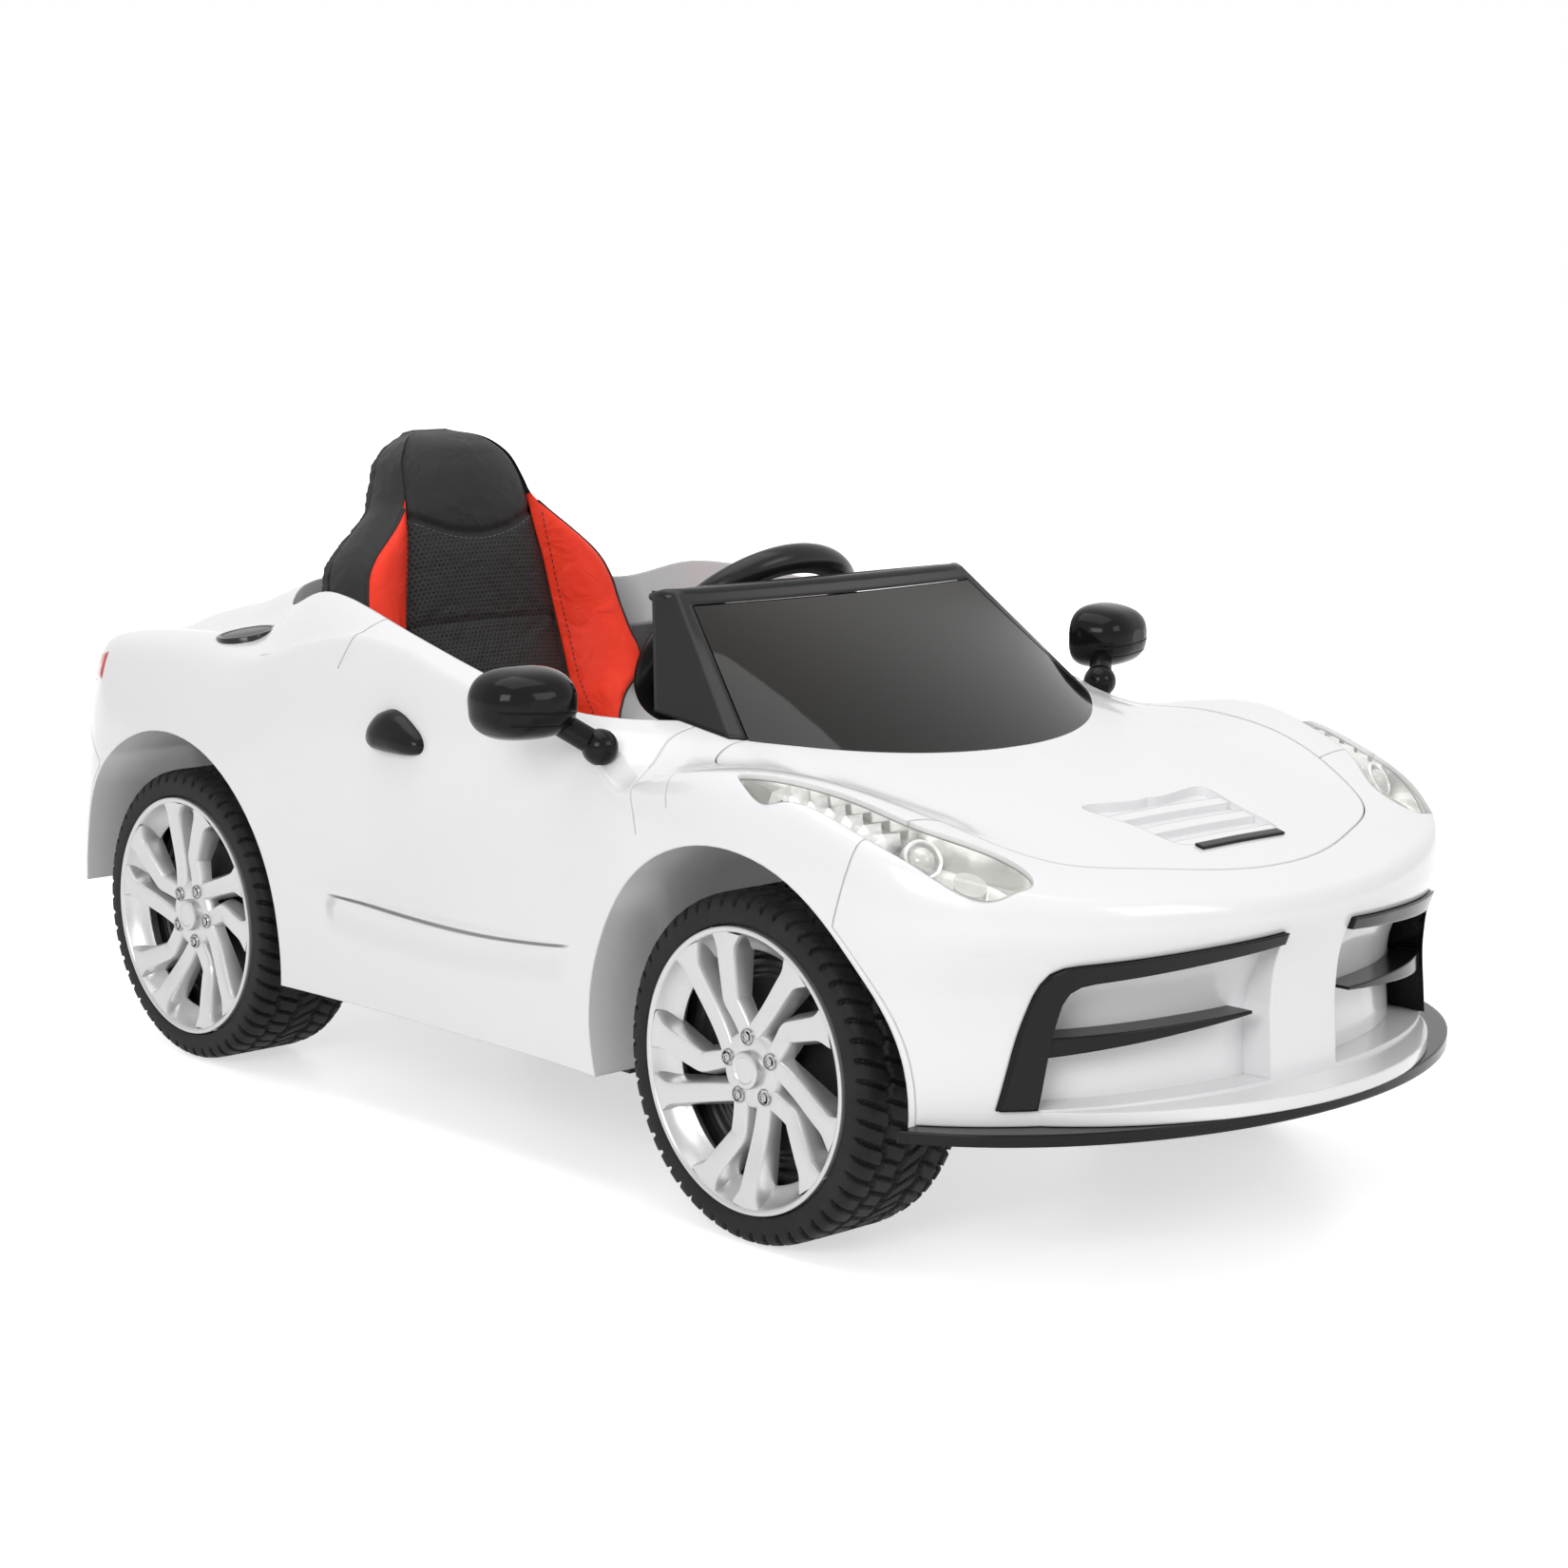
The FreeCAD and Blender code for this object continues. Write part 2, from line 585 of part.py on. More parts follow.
def make_front_bumper():
    """Front bumper with two sunk grille pockets, the pillar between them and a lower lip."""
    half = skin.common(prism(shrunk(FRONT_SEAM_SIDE, PANEL_GAP), -FAR, FAR, "y", smooth=False))
    half = half.cut(hood_hole).cut(lamp_hole)
    pocket = prism(POCKET_FRONT, NOSE_CUT_X, FAR, "x", smooth=False)
    tray = thick.common(prism(shrunk(POCKET_FRONT, -BODY_WALL), NOSE_CUT_X, FAR, "x", smooth=False))
    half = half.cut(pocket).fuse(tray.cut(pocket.cut(shifted(deep, x=POCKET_BACK))))
    base = Vector(NOSE_ROUND_X, 0, LIP_BASE_Z)
    oval = Part.Ellipse(base + LEFT * LIP_HALF_WIDTH, base + FORWARD * (LIP_FRONT_X - NOSE_ROUND_X), base)
    lip = Part.Face(Part.Wire([oval.toShape()])).extrude(UP * LIP_THICK)
    lip = lip.common(box(LIP_REAR_X, FAR, 0, FAR, 0, FAR)).cut(inner)
    half = half.fuse(lip).cut(box(-FAR, FAR, -FAR, FAR, 0, FRONT_BUMPER_BASE_Z))
    half = half.cut(well(ARCH_RADIUS + BODY_WALL + PART_CLEARANCE, FRONT_AXLE_X, BUMPER_WELL_Y, FAR))
    return one_solid(joined(one_solid(half)))


def make_grille_trim():
    """Black inverted-L frame that stands in a grille pocket, with one fin across it."""
    frame = prism(shrunk(POCKET_FRONT, PART_CLEARANCE), NOSE_CUT_X, FAR, "x", smooth=False)
    frame = frame.cut(prism(GRILLE_INNER_FRONT, NOSE_CUT_X, FAR, "x", smooth=False))
    floor = shifted(deep, x=POCKET_BACK + PART_CLEARANCE)
    frame = frame.common(shifted(outer, x=GRILLE_PROUD)).cut(floor)
    fin = prism(FIN_FRONT, NOSE_CUT_X, FAR, "x", smooth=False).common(outer).cut(floor)
    return one_solid(frame.fuse(fin))


def make_splitter():
    """Black blade under the front bumper that runs round to the wheel wells."""
    top = FRONT_BUMPER_BASE_Z - PART_CLEARANCE
    base = Vector(NOSE_ROUND_X, 0, top - SPLITTER_THICK)
    reach = LIP_FRONT_X - NOSE_ROUND_X - SPLITTER_SETBACK

    def oval(inset):
        side = LEFT * (SPLITTER_HALF_WIDTH - inset)
        ring = Part.Ellipse(base + side, base + FORWARD * (reach - inset), base)
        return Part.Face(Part.Wire([ring.toShape()])).extrude(UP * SPLITTER_THICK)

    blade = oval(0).cut(oval(SPLITTER_WIDTH)).common(box(SPLITTER_REAR_X, FAR, -FAR, FAR, 0, FAR))
    return blade


def make_rear_bumper():
    """Lower tail panel under the tail lamps."""
    half = skin.common(prism(shrunk(REAR_SEAM_SIDE, PANEL_GAP), -FAR, FAR, "y", smooth=False)).cut(lamp_box)
    half = half.cut(box(-FAR, FAR, -FAR, FAR, 0, REAR_BUMPER_BASE_Z))
    half = half.cut(well(ARCH_RADIUS + BODY_WALL + PART_CLEARANCE, REAR_AXLE_X, BUMPER_WELL_Y, FAR))
    return one_solid(joined(one_solid(half)))


def make_headlamp():
    """Clear lens flush with the fender, and the reflector bowl under it."""
    lens = skin.common(prism(shrunk(LAMP_PLAN, PANEL_GAP / 2), CUT_BASE_Z, FAR, "z"))
    bowl_plan = prism(shrunk(LAMP_PLAN, -LAMP_WALL), CUT_BASE_Z, FAR, "z")
    bowl = shifted(inner, -PART_CLEARANCE, -PART_CLEARANCE, -PART_CLEARANCE).common(bowl_plan)
    floor = shifted(outer, z=LAMP_WALL - LAMP_DEPTH)
    hollow = prism(LAMP_PLAN, CUT_BASE_Z, FAR, "z").cut(floor)
    bowl = bowl.cut(shifted(outer, z=-LAMP_DEPTH)).cut(hollow)
    led = upright(LED_RADIUS, LED_X, LED_Y, 0, FAR).common(shifted(floor, z=LED_HEIGHT))
    led = led.cut(shifted(floor, z=PART_CLEARANCE))
    return one_solid(lens), one_solid(bowl), one_solid(led)


# Windscreen: three lines run up the screen, at its middle, its corner and the rear of its side wing.
# Each is (x, y) at the body line and at the top.
SCREEN_BASE_Z = 318.0
SCREEN_TOP_Z = 417.0
SCREEN_FOOT_Z = 296.0
SCREEN_MIDDLE = ((335, 0), (152, 0))
SCREEN_CORNER = ((255, 187), (147, 146))
SCREEN_WING = ((190, 203), (127, 152))
SCREEN_WALL = 5.0
SCREEN_BORDER = 9.0
WING_OPENING = 1.6
VISOR_DEPTH = 18.0


def screen_point(line, z):
    """Point of one of the screen's lines at a height."""
    part = (z - SCREEN_BASE_Z) / (SCREEN_TOP_Z - SCREEN_BASE_Z)
    (x0, y0), (x1, y1) = line
    return Vector(x0 + (x1 - x0) * part, y0 + (y1 - y0) * part, z)


def screen_section(z, wall):
    """Closed section of the screen: curved front and straight side wings, drawn in by the wall."""
    middle = screen_point(SCREEN_MIDDLE, z) - FORWARD * wall
    corner = screen_point(SCREEN_CORNER, z) - FORWARD * wall
    wing = screen_point(SCREEN_WING, z)
    if wall > 0:
        corner.y -= wall
        wing.y -= wall
        wing = corner + (wing - corner) * WING_OPENING
    right_corner = Vector(corner.x, -corner.y, z)
    right_wing = Vector(wing.x, -wing.y, z)
    front = Part.Arc(corner, middle, right_corner).toShape()
    corners = [right_corner, right_wing, wing, corner]
    sides = [Part.makeLine(start, end) for start, end in zip(corners, corners[1:])]
    return Part.Wire([front] + sides)


def make_windscreen():
    """Dark frame with side wings and a visor edge, and the smoked panel set into it."""
    block = Part.makeLoft([screen_section(z, 0.0) for z in (SCREEN_FOOT_Z, SCREEN_TOP_Z)], True, True)
    room_top = SCREEN_TOP_Z - SCREEN_WALL
    room = Part.makeLoft([screen_section(z, SCREEN_WALL) for z in (SCREEN_FOOT_Z, room_top)], True, True)
    hatch = Part.Face(screen_section(room_top - SCREEN_WALL, VISOR_DEPTH)).extrude(UP * FAR)
    frame = block.cut(room).cut(hatch)
    seat = shifted(outer, z=PART_CLEARANCE)
    frame = frame.cut(seat).cut(mirrored(seat))
    foot = screen_point(SCREEN_CORNER, SCREEN_FOOT_Z).y - SCREEN_BORDER
    head = screen_point(SCREEN_CORNER, SCREEN_TOP_Z - SCREEN_BORDER).y - SCREEN_BORDER
    head_z = SCREEN_TOP_Z - SCREEN_BORDER
    window = [(-foot, SCREEN_FOOT_Z), (foot, SCREEN_FOOT_Z), (head, head_z), (-head, head_z)]
    panel = frame.common(prism(shrunk(window, PANEL_GAP), 0, FAR, "x", smooth=False))
    frame = frame.cut(prism(window, 0, FAR, "x", smooth=False))
    return one_solid(frame), one_solid(panel)


# Dashboard side outline (x, z), from its face round to the front.
DASH_SIDE = [(170, 318), (170, 258), (186, 246), (300, 246), (322, 290), (322, 318), (240, 328), (178, 326)]
DASH_HALF_WIDTH = 176.0
DASH_WALL = 4.0
DASH_FACE_THICK = 18.0
DASH_ROOF_THICK = 10.0
dash_room_top = DASH_SIDE[0][1] - DASH_ROOF_THICK
SWITCH_Z = 288.0
POWER_BUTTON_Y = -78.0
ROCKER_Y = -118.0
ROCKER_SIZE = (10.0, 16.0, 26.0)
ROCKER_PROUD = 3.5
ROCKER_DISH = 2.0
ROCKER_TURN = 8.0
ROCKER_PIVOT_DEPTH = 4.0
ROCKER_PIN_RADIUS = 2.0
ROCKER_PIN_REACH = 3.0
CHARGE_SOCKET_Y = 112.0
SOCKET_RADIUS = 9.0
SOCKET_PROUD = 6.0
# The charging socket looks up and back, so that a plug comes in over the seat.
CHARGE_TILT = math.radians(25.0)
charge_in = Vector(math.cos(CHARGE_TILT), 0, -math.sin(CHARGE_TILT))
BUTTON_PROUD = 5.0
BUTTON_LENGTH = 12.0


def make_dashboard():
    """Dashboard under the windscreen, with holes for the column, switches and charging socket."""
    dash = prism(DASH_SIDE, 0, DASH_HALF_WIDTH, "y", smooth=False)
    rim = prism(shrunk(cockpit_plan, -BODY_WALL - PART_CLEARANCE), CUT_BASE_Z, FAR, "z")
    rim = rim.cut(prism(shrunk(cockpit_plan, PART_CLEARANCE), CUT_BASE_Z, FAR, "z"))
    rim = rim.cut(shifted(deep, z=-PART_CLEARANCE))
    liner_y = WELL_INNER_Y - BODY_WALL - PART_CLEARANCE
    liner = well(ARCH_RADIUS + BODY_WALL + PART_CLEARANCE, FRONT_AXLE_X, liner_y, FAR)
    half = dash.common(shifted(inner, z=-PART_CLEARANCE)).cut(rim).cut(liner)
    room_y = DASH_HALF_WIDTH - DASH_WALL
    room_rear = DASH_SIDE[0][0] + DASH_FACE_THICK
    room = box(room_rear, DASH_SIDE[4][0] - DASH_WALL, -room_y, room_y, 0, dash_room_top)
    room = room.cut(well(ARCH_RADIUS + BODY_WALL + DASH_WALL, FRONT_AXLE_X, liner_y - DASH_WALL, FAR))
    dash = one_solid(joined(one_solid(half.cut(room))))
    face = DASH_SIDE[0][0]
    dash = dash.cut(on_column(Part.makeCylinder(COLUMN_RADIUS + PANEL_GAP, FAR, Vector(0, 0, -FAR), UP)))
    hole = BUTTON_LENGTH - BUTTON_PROUD + BUTTON_TRAVEL + PART_CLEARANCE
    button = Vector(face, POWER_BUTTON_Y, SWITCH_Z)
    dash = dash.cut(rod(button, button + FORWARD * hole, BUTTON_RADIUS + PART_CLEARANCE))
    socket = Vector(face, CHARGE_SOCKET_Y, SWITCH_Z)
    mouth = socket - charge_in * SOCKET_PROUD
    dash = dash.cut(rod(mouth, socket + charge_in * CHARGE_BORE_DEPTH, SOCKET_RADIUS))
    depth, width, tall = ROCKER_SIZE
    swing = PART_CLEARANCE + tall / 2 * math.sin(math.radians(ROCKER_TURN))
    side = width / 2 + PART_CLEARANCE
    rise = tall / 2 + swing
    slot = box(face, face + depth + swing, ROCKER_Y - side, ROCKER_Y + side, SWITCH_Z - rise, SWITCH_Z + rise)
    reach = side + ROCKER_PIN_REACH
    pin = ROCKER_PIN_RADIUS + RUNNING_CLEARANCE
    bearing = across(pin, face + ROCKER_PIVOT_DEPTH, SWITCH_Z, ROCKER_Y - reach, ROCKER_Y + reach)
    return dash.cut(slot).cut(bearing)


def make_power_button():
    """Round push button on the dashboard."""
    start = Vector(DASH_SIDE[0][0] - BUTTON_PROUD, POWER_BUTTON_Y, SWITCH_Z)
    return rod(start, start + FORWARD * BUTTON_LENGTH, BUTTON_RADIUS)


def make_rocker():
    """Forward and reverse rocker with a shallow V face and a pivot pin at each side."""
    depth, width, tall = ROCKER_SIZE
    face = DASH_SIDE[0][0]
    valley = face - ROCKER_PROUD
    edge = valley - ROCKER_DISH
    root = face + ROCKER_DISH
    low = SWITCH_Z - tall / 2
    high = SWITCH_Z + tall / 2
    side = [(edge, low), (valley, SWITCH_Z), (edge, high), (root, high), (face + depth, SWITCH_Z),
            (root, low)]
    rocker = prism(side, ROCKER_Y - width / 2, ROCKER_Y + width / 2, "y", smooth=False)
    reach = width / 2 + ROCKER_PIN_REACH
    pin = across(ROCKER_PIN_RADIUS, face + ROCKER_PIVOT_DEPTH, SWITCH_Z, ROCKER_Y - reach, ROCKER_Y + reach)
    return rocker.fuse(pin)


def make_charge_socket():
    """Charging socket: a flanged sleeve with a blind bore for the charger's plug."""
    face = DASH_SIDE[0][0]
    start = Vector(face, CHARGE_SOCKET_Y, SWITCH_Z) - charge_in * SOCKET_PROUD
    length = SOCKET_PROUD + CHARGE_BORE_DEPTH
    body = rod(start, start + charge_in * length, SOCKET_RADIUS - RUNNING_CLEARANCE)
    return body.cut(rod(start, start + charge_in * CHARGE_BORE_DEPTH, CHARGE_BORE_RADIUS))


# Steering: the wheel is drawn with X up its face, Y to the left and Z towards the driver.
column_sin = math.sin(math.radians(COLUMN_ANGLE))
column_cos = math.cos(math.radians(COLUMN_ANGLE))
COLUMN_FRAME = FreeCAD.Placement(FreeCAD.Matrix(column_sin, 0, -column_cos, STEERING_WHEEL_X, 0, 1, 0, 0,
                                                column_cos, 0, column_sin, STEERING_WHEEL_Z, 0, 0, 0, 1))
WHEEL_HUB_RADIUS = 33.0
WHEEL_HUB_FRONT = 6.0
WHEEL_HUB_BACK = -18.0
SPOKE_HALF = 14.0
SPOKE_FRONT = 2.0
SPOKE_BACK = -9.0
HORN_Y = 55.0
HORN_RADIUS = 8.0
HORN_PROUD = 4.0
HORN_LENGTH = 8.0
HORN_TRAVEL = 2.0
CRANK_BALL = 5.0
CRANK_RADIUS = 3.5
CRANK_CLEARANCE = 0.8
TIE_ROD_ROOM = 2.4
tie_rod_top = FLOOR_Z - TIE_ROD_ROOM
tie_rod_base = tie_rod_top - TIE_ROD_THICK
arm_top = tie_rod_base - PART_CLEARANCE
arm_base = arm_top - STEERING_ARM_THICK
crank_tip_z = (tie_rod_top + tie_rod_base) / 2
column_length = (STEERING_WHEEL_Z - crank_tip_z - STEERING_CRANK * column_cos) / column_sin
crank_tip_x = STEERING_WHEEL_X + column_length * column_cos - STEERING_CRANK * column_sin


def on_column(shape):
    """A piece drawn in the steering wheel's own frame, put in its place."""
    placed = shape.copy()
    placed.Placement = COLUMN_FRAME.multiply(placed.Placement)
    return placed


def make_steering_wheel():
    """Three-spoke steering wheel with a padded hub and two button holes."""
    wheel = Part.makeTorus(STEERING_WHEEL_RADIUS, STEERING_GRIP_RADIUS)
    hub_depth = WHEEL_HUB_FRONT - WHEEL_HUB_BACK
    hub = Part.makeCylinder(WHEEL_HUB_RADIUS, hub_depth, Vector(0, 0, WHEEL_HUB_BACK), UP)
    reach = STEERING_WHEEL_RADIUS
    bar = box(-SPOKE_HALF, SPOKE_HALF, -reach, reach, SPOKE_BACK, SPOKE_FRONT)
    stem = box(-reach, 0, -SPOKE_HALF, SPOKE_HALF, SPOKE_BACK, SPOKE_FRONT)
    wheel = wheel.fuse(hub).fuse(bar).fuse(stem)
    bore = Part.makeCylinder(COLUMN_RADIUS - RUNNING_CLEARANCE, FAR, Vector(0, 0, -FAR), UP)
    wheel = wheel.cut(bore)
    depth = HORN_LENGTH - HORN_PROUD + HORN_TRAVEL + PART_CLEARANCE
    for y in (-HORN_Y, HORN_Y):
        wheel = wheel.cut(Part.makeCylinder(HORN_RADIUS + PART_CLEARANCE, depth,
                                            Vector(0, y, SPOKE_FRONT - depth), UP))
    return on_column(one_solid(wheel))


def make_horn_button(y):
    """Push button on a steering wheel spoke."""
    start = SPOKE_FRONT + HORN_PROUD - HORN_LENGTH
    return on_column(Part.makeCylinder(HORN_RADIUS, HORN_LENGTH, Vector(0, y, start), UP))


def make_steering_column():
    """Steel column with the crank at its foot that moves the tie rod."""
    foot = Vector(0, 0, -column_length)
    column = Part.makeCylinder(COLUMN_RADIUS - RUNNING_CLEARANCE, column_length, foot, UP)
    crank = Part.makeCylinder(CRANK_RADIUS, STEERING_CRANK, foot, Vector(-1, 0, 0))
    elbow = Part.makeSphere(COLUMN_RADIUS, foot)
    ball = Part.makeSphere(CRANK_BALL, Vector(-STEERING_CRANK, 0, -column_length))
    return on_column(column.fuse(elbow).fuse(crank).fuse(ball))


# Seat: its back is drawn with X forward from the back panel, Y to the left and Z up the back.
SEAT_FOOT_X = -224.0
SEAT_FOOT_Z = 178.0
SEAT_FOOT_HALF = 100.0
SEAT_LEAN = 22.0
SEAT_SHELL_THICK = 8.0
PAN_WIDE_REAR_X = -194.0
SKIRT_SETBACK = 12.0
HEEL_DEPTH = 8.0
PAD_SECTIONS = 15
SEAT_BACK_HALF = [(0, SEAT_FOOT_HALF), (72, 101), (92, 112), (114, 142), (140, 150), (193, 147), (230, 139),
                  (246, 130), (267, 104), (285, 80), (311, 69), (328, 61), (343, 45), (353, 24)]
CENTRE_PAD_HALF = [(0, 76), (99, 78), (160, 80), (195, 75), (228, 70), (253, 66), (273, 66), (293, 66),
                   (318, 62), (338, 48), (349, 28)]
PAD_THICK = [(0, 10), (103, 12), (160, 13), (195, 21), (228, 30), (253, 35), (273, 38), (303, 38), (333, 33),
             (349, 24)]
BOLSTER_FACE_HALF = [(48, 92), (76, 95), (96, 108), (116, 134), (135, 141), (151, 135), (180, 132),
                     (198, 130), (218, 124), (233, 113), (249, 95), (262, 81)]
BOLSTER_THICK = [(48, 44), (103, 44), (180, 38), (203, 43), (252, 44), (262, 42)]
BOLSTER_SETBACK = 4.0
PAD_CROWN = 7.0
PAD_DRAW_IN = 4.0
BASE_PAD_REAR_X = -198.0
BASE_PAD_FRONT_X = 36.0
BASE_PAD_WIDTHS = [(0, 0.68), (0.12, 0.93), (0.3, 1.0), (0.8, 1.0), (1, 0.93)]
BASE_PAD_RISE = [(0, 0.7), (0.2, 0.96), (0.5, 1.0), (0.8, 0.95), (1, 0.6)]
BASE_PAD_HALF = 142.0
BASE_PAD_THICK = 36.0
SEAT_FRAME = FreeCAD.Placement(Vector(SEAT_FOOT_X, 0, SEAT_FOOT_Z), FreeCAD.Rotation(LEFT, -SEAT_LEAN))


def on_seat(shape):
    """A piece drawn in the seat back's own frame, put in its place."""
    placed = shape.copy()
    placed.Placement = SEAT_FRAME.multiply(placed.Placement)
    return placed


def pad_section(z, rear, face, base, front):
    """Section of a pad between its rear and face edges: crowned front, drawn-in sides and a flat back."""
    corners = [Vector(base, rear[0], z), Vector(front, face[0], z), Vector(front, face[1], z),
               Vector(base, rear[1], z)]
    draw_in = LEFT * PAD_DRAW_IN
    first_side = Part.Arc(corners[0], (corners[0] + corners[1]) / 2 + draw_in, corners[1]).toShape()
    crown = (corners[1] + corners[2]) / 2 + FORWARD * PAD_CROWN
    second_side = Part.Arc(corners[2], (corners[2] + corners[3]) / 2 - draw_in, corners[3]).toShape()
    top = Part.Arc(corners[1], crown, corners[2]).toShape()
    return Part.Wire([first_side, top, second_side, Part.makeLine(corners[3], corners[0])])


def even_steps(start, end, count):
    """Evenly spaced values from start to end."""
    return [start + (end - start) * step / (count - 1) for step in range(count)]


def make_seat_back_pad():
    """Centre panel and headrest of the seat back, one stuffed cover."""
    sections = []
    for z in even_steps(CENTRE_PAD_HALF[0][0], CENTRE_PAD_HALF[-1][0], PAD_SECTIONS):
        half = curve(CENTRE_PAD_HALF, z)
        edges = (-half, half)
        sections.append(pad_section(z, edges, edges, PART_CLEARANCE, curve(PAD_THICK, z)))
    return on_seat(Part.makeLoft(sections, True, False))


def make_seat_bolster():
    """Left side bolster of the seat back, drawn to a point at the shoulder."""
    sections = []
    for z in even_steps(BOLSTER_THICK[0][0], BOLSTER_THICK[-1][0], PAD_SECTIONS):
        inner_y = curve(CENTRE_PAD_HALF, z) + PART_CLEARANCE
        rear = (inner_y, curve(SEAT_BACK_HALF, z) - BOLSTER_SETBACK)
        face = (inner_y, curve(BOLSTER_FACE_HALF, z))
        sections.append(pad_section(z, rear, face, PART_CLEARANCE, curve(BOLSTER_THICK, z)))
    return on_seat(Part.makeLoft(sections, True, False))


def make_seat_base_pad():
    """Seat cushion: crowned top, drawn-in sides and rounded front edge."""
    base = SEAT_PAN_Z + SEAT_PAN_THICK
    sections = []
    for part in even_steps(0, 1, PAD_SECTIONS):
        x = BASE_PAD_REAR_X + (BASE_PAD_FRONT_X - BASE_PAD_REAR_X) * part
        half = BASE_PAD_HALF * curve(BASE_PAD_WIDTHS, part)
        top = base + BASE_PAD_THICK * curve(BASE_PAD_RISE, part)
        wire = pad_section(0, (-half, half), (-half, half), base + PART_CLEARANCE, top)
        wire.Placement = FreeCAD.Placement(Vector(x, 0, 0), FreeCAD.Rotation(LEFT, -90))
        sections.append(wire)
    return Part.makeLoft(sections, True, False)


def make_seat_shell():
    """Hard seat moulding: pan, back panel and the skirt it stands on."""
    outline = [(half, z) for z, half in SEAT_BACK_HALF]
    outline = outline + [(-y, z) for y, z in reversed(outline)]
    back = on_seat(prism(outline, -SEAT_SHELL_THICK, 0, "x", smooth=False))
    heel_rear = SEAT_FOOT_X - HEEL_DEPTH
    foot = SEAT_FOOT_HALF
    side = SEAT_HALF_WIDTH
    pan_top = SEAT_PAN_Z + SEAT_PAN_THICK
    pan = box(PAN_WIDE_REAR_X, BASE_PAD_FRONT_X, -side, side, SEAT_PAN_Z, pan_top)
    pan = pan.fuse(box(heel_rear, PAN_WIDE_REAR_X, -foot, foot, SEAT_PAN_Z, pan_top))
    heel = box(heel_rear, SEAT_FOOT_X, -foot, foot, SEAT_PAN_Z, SEAT_FOOT_Z)
    skirt_rear = PAN_WIDE_REAR_X + SKIRT_SETBACK
    skirt = box(skirt_rear, BASE_PAD_FRONT_X, -side, side, floor_top, SEAT_PAN_Z)
    wall = SEAT_PAN_THICK
    half = side - wall
    room = box(skirt_rear + wall, BASE_PAD_FRONT_X - wall, -half, half, floor_top, SEAT_PAN_Z)
    shell = back.fuse(pan).fuse(heel).fuse(skirt.cut(room))
    for path in wire_paths():
        shell = shell.cut(lead(path, WIRE_RADIUS + PART_CLEARANCE))
    return one_solid(shell.removeSplitter())


# Small outside pieces
FUEL_CAP_X = -300.0
FUEL_CAP_Y = -220.0
FUEL_CAP_RADIUS = 25.0
FUEL_CAP_PROUD = 3.0
HANDLE_SIDE = [(-80, 291), (-83, 300), (-77, 314), (-62, 323), (-48, 322), (-28, 312), (-13, 302), (-12, 294),
               (-20, 290), (-50, 289)]
HANDLE_PROUD = 9.0
HANDLE_TILT = 4.0
TRIM_BAR = (549.0, 556.0, 42.0)
TRIM_BAR_PROUD = 2.0
MIRROR_CENTRE = Vector(170, 299, 352)
MIRROR_WIDTH = 76.0
MIRROR_HEIGHT = 51.0
MIRROR_DEPTH = 44.0
MIRROR_TURN = 14.0
MIRROR_GLASS_RIM = 5.0
MIRROR_GLASS_THICK = 2.0
MIRROR_STALK_RADIUS = 9.0
MIRROR_STALK_START = Vector(172, 282, 342)
MIRROR_ROUNDNESS = 0.75
MIRROR_STEPS = ((0.0, 0.94), (0.12, 1.0), (0.45, 0.97), (0.75, 0.82), (0.93, 0.55), (1.0, 0.25))
MIRROR_FOOT = Vector(194, 256, 321)
MIRROR_FOOT_RADIUS = 13.0
OUTLINE_POINTS = 20


def make_tail_lamp():
    """Left tail lamp strip, flush with the tail above the bumper."""
    x0, x1, y0, y1, z0, z1 = TAIL_LAMP_BOX
    return one_solid(skin.common(box(x0, x1 - PANEL_GAP, y0 + PANEL_GAP, y1, z0 + PANEL_GAP, z1 - PANEL_GAP)))


def make_fuel_cap():
    """Round filler cap on the right rear fender, following the fender's top."""
    reach = upright(FUEL_CAP_RADIUS, FUEL_CAP_X, FUEL_CAP_Y, CUT_BASE_Z, FAR)
    fender = mirrored(outer)
    cap = reach.common(shifted(fender, z=FUEL_CAP_PROUD))
    return one_solid(cap.cut(shifted(fender, z=PART_CLEARANCE)))


def make_handle():
    """Domed handle on the left side, with a flat lower edge."""
    blank = prism(HANDLE_SIDE, SIDE_CUT_Y, FAR, "y")
    dome = shifted(outer, y=HANDLE_PROUD)
    core = prism(shrunk(HANDLE_SIDE, HANDLE_TILT), SIDE_CUT_Y, FAR, "y")
    step = blank.common(shifted(outer, y=HANDLE_PROUD / 2)).fuse(core.common(dome))
    return one_solid(step.cut(shifted(outer, y=PART_CLEARANCE)))


def make_trim_bar():
    """Plain dark bar across the hood in front of the vent."""
    start, end, half = TRIM_BAR
    bar = box(start, end, 0, half, CUT_BASE_Z, FAR)
    bar = bar.common(shifted(outer, z=TRIM_BAR_PROUD)).cut(shifted(outer, z=PART_CLEARANCE))
    return one_solid(joined(one_solid(bar)))


def mirror_outline(x, share):
    """Rounded outline of the mirror housing at a depth, as a share of its full size."""
    points = []
    for step in range(OUTLINE_POINTS):
        angle = 2 * math.pi * step / OUTLINE_POINTS
        wide = math.copysign(abs(math.cos(angle)) ** MIRROR_ROUNDNESS, math.cos(angle))
        tall = math.copysign(abs(math.sin(angle)) ** MIRROR_ROUNDNESS, math.sin(angle))
        points.append(Vector(x, MIRROR_WIDTH / 2 * share * wide, MIRROR_HEIGHT / 2 * share * tall))
    ring = Part.BSplineCurve()
    ring.interpolate(points, PeriodicFlag=True)
    return Part.Wire([ring.toShape()])


def at_mirror(shape):
    """A piece drawn round the left mirror's middle, turned and put in its place."""
    placed = shape.copy()
    place = FreeCAD.Placement(MIRROR_CENTRE, FreeCAD.Rotation(UP, MIRROR_TURN))
    placed.Placement = place.multiply(placed.Placement)
    return placed


